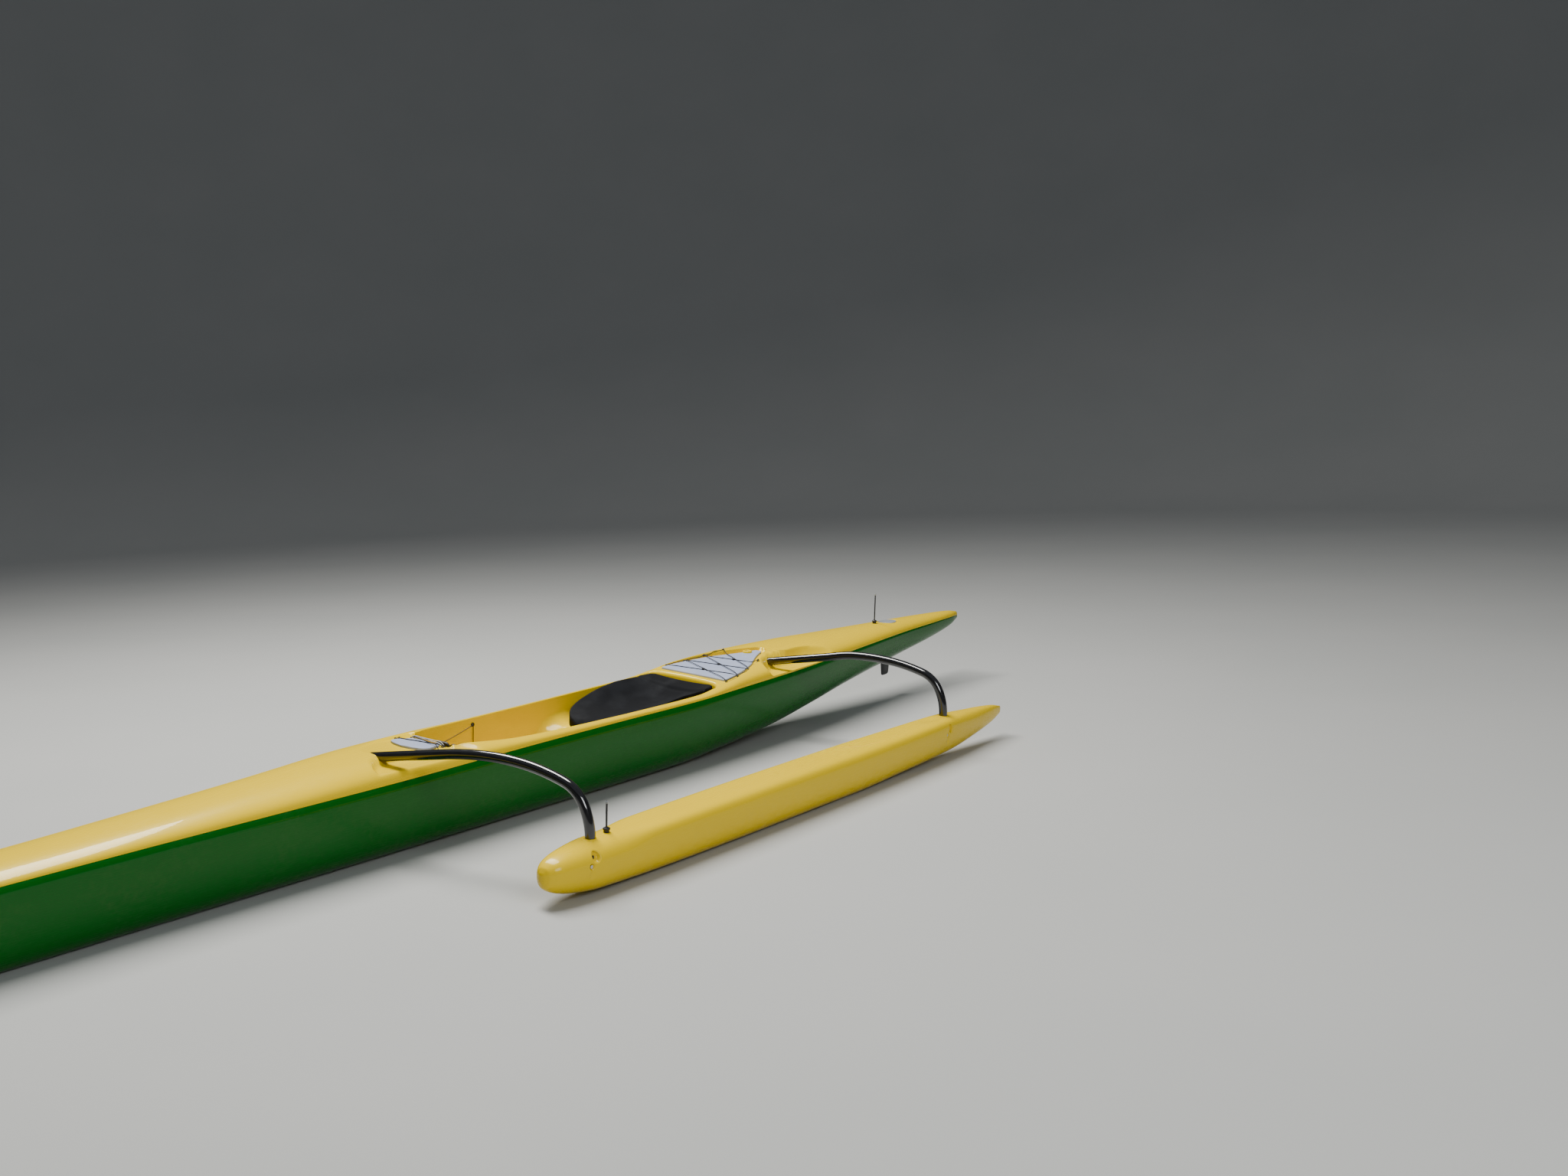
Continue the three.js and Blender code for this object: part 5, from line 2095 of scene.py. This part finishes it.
@dataclass
class Studio:
    """Floor, lights and camera.

    Attributes:
        camera: where the camera stands in the shared frame, in metres.
        turn: its heading, pitch and roll in degrees, about the upright canoe's axes.
        focal: focal length in pixels of a picture of the stated width.
        width: that width.
        flat: radius within which the floor is level, in metres.
        edge: its outer radius.
        curl: how gently it curves up beyond.
    """

    camera: tuple[float, float, float] = (3.5846, 3.5789, 1.3555)
    turn: tuple[float, float, float] = (126.5, 9.60, -1.62)
    focal: float = 2090.0
    width: float = 2048.0
    flat: float = 13.0
    edge: float = 26.0
    curl: float = 9.0

    def add_camera(self, heel: float) -> None:
        """Stands the camera where the photograph was taken.

        Args:
            heel: the canoe's heel, because the camera's turn was measured against the canoe.
        """
        yaw, pitch, roll = (math.radians(v) for v in self.turn)
        right = np.array([math.cos(yaw), math.sin(yaw), 0.0])
        ahead = np.array([-math.sin(yaw), math.cos(yaw), 0.0])
        up = np.array([0.0, 0.0, 1.0])
        forward = ahead * math.cos(pitch) - up * math.sin(pitch)
        down = -(up * math.cos(pitch) + ahead * math.sin(pitch))
        rows = [
            right * math.cos(roll) + down * math.sin(roll),
            -right * math.sin(roll) + down * math.cos(roll),
            forward,
        ]
        c, s = math.cos(heel), math.sin(heel)
        r, d, f = (np.array([v[0], v[1] * c + v[2] * s, -v[1] * s + v[2] * c]) for v in rows)
        data = bpy.data.cameras.new("camera")
        data.sensor_width = 36.0
        data.lens = self.focal / self.width * data.sensor_width
        data.clip_end = 200.0
        camera = bpy.data.objects.new("camera", data)
        bpy.context.scene.collection.objects.link(camera)
        x, y, z = self.camera
        camera.matrix_world = Matrix(
            [(r[0], -d[0], -f[0], x), (r[1], -d[1], -f[1], y), (r[2], -d[2], -f[2], z), (0, 0, 0, 1)]
        )
        bpy.context.scene.camera = camera

    def add_floor(self) -> None:
        """Lays a round pale floor that curves up into a wall far off.

        Its height is the square of the distance beyond its level part, over its curl.
        """
        rise = np.linspace(self.flat + 0.5, self.edge, 26)
        radius = np.concatenate([np.linspace(0.0, self.flat, 14), rise])[:, None]
        angle = np.linspace(0.0, 2 * math.pi, 96, endpoint=False)[None, :]
        height = np.maximum(radius - self.flat, 0.0) ** 2 / self.curl
        height = np.broadcast_to(height, (len(radius), 96))
        points = np.stack([radius * np.cos(angle), radius * np.sin(angle), height], -1)
        mesh = bpy.data.meshes.new("floor")
        mesh.from_pydata(points.reshape(-1, 3).tolist(), [], grid_faces(len(radius), 96, True).tolist())
        mesh.shade_smooth()
        g = Graph("floor")
        at = g.node("ShaderNodeTexCoord", output=3)
        tone = g.blend((0.36, 0.37, 0.36, 1.0), (0.41, 0.41, 0.40, 1.0), g.noise(at, 0.7, 4.0))
        mesh.materials.append(g.finish(Base_Color=tone, Roughness=0.85))
        floor = bpy.data.objects.new("floor", mesh)
        bpy.context.scene.collection.objects.link(floor)

    def add_lights(self) -> None:
        """Hangs large soft lights, the main one high on the starboard side towards the stern."""
        # Place, aim, width, length, power and colour of each light
        panels = (
            ((-0.6, -2.0, 6.4), (0.0, 0.0, 0.2), 2.0, 6.0, 980.0, (1.0, 0.98, 0.94)),
            ((2.5, 6.5, 4.0), (0.2, 0.0, 0.2), 3.0, 3.0, 260.0, (0.96, 0.98, 1.0)),
        )
        for k, (place, aim, width, length, power, colour) in enumerate(panels):
            data = bpy.data.lights.new(f"panel_{k}", "AREA")
            data.shape = "RECTANGLE"
            data.size, data.size_y = width, length
            data.energy = power
            data.color = colour
            lamp = bpy.data.objects.new(f"panel_{k}", data)
            bpy.context.scene.collection.objects.link(lamp)
            way = np.array(aim) - np.array(place)
            way = way / np.linalg.norm(way)
            side = np.cross(way, (0.0, 0.0, 1.0))
            side /= np.linalg.norm(side)
            top = np.cross(side, way)
            columns = np.stack([side, top, -way, place], -1)
            lamp.matrix_world = Matrix([*columns.tolist(), [0.0, 0.0, 0.0, 1.0]])

    def add_world(self) -> None:
        """Fills the shadows with an even pale sky."""
        world = bpy.data.worlds.new("studio")
        world.use_nodes = True
        sky = world.node_tree.nodes["Background"]
        sky.inputs["Color"].default_value = (0.78, 0.83, 0.9, 1.0)
        sky.inputs["Strength"].default_value = 0.22
        bpy.context.scene.world = world

    def build(self, heel: float) -> None:
        """Sets up the whole studio."""
        self.add_camera(heel)
        self.add_floor()
        self.add_lights()
        self.add_world()


def paint_kept_nodes(nodes: Mapping[str, bpy.types.Object], paints: Paints) -> None:
    """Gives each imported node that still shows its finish.

    Args:
        nodes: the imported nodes.
        paints: the finishes.
    """
    kept = {
        "left_pedal_rail": Slot.BLACK_PLASTIC,
        "right_pedal_rail": Slot.BLACK_PLASTIC,
        "foot_brace": Slot.BLACK_PLASTIC,
        "rudder_tube": Slot.GREY_PLASTIC,
        "rudder_post": Slot.STEEL,
        "front_ama_bolt": Slot.STEEL,
        "rear_ama_bolt": Slot.STEEL,
    }
    for name, slot in kept.items():
        mesh = nodes[name].data
        mesh.materials.clear()
        mesh.materials.append(paints.of[slot])
        log.info("%s: kept, %s", name, slot.value)


def corners(bounds: Sequence[Any]) -> list[list[float]]:
    """A box's two corners as plain lists."""
    return [[float(v) for v in corner] for corner in bounds]


def main() -> None:
    """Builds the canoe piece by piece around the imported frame."""
    logging.basicConfig(level=logging.INFO, format="%(name)s: %(message)s")
    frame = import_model()
    place = Placing.from_rudder(frame["joints"][0])
    Studio().build(place.heel)
    paints = Paints()
    yard = Yard(place, paints)
    deck = Deck()
    ama = Float()
    HullBottom().build(yard, deck.lines)
    deck.build(yard)
    DeckFittings().build(yard, deck)
    Seat().build(yard, deck)
    Footwell().build(yard, deck)
    Beams().build(yard)
    ama.build(yard)
    Vents().build(yard, deck, ama)
    Rudder().build(yard, deck)
    paint_kept_nodes(frame["nodes"], paints)


if __name__ == "__main__":
    main()
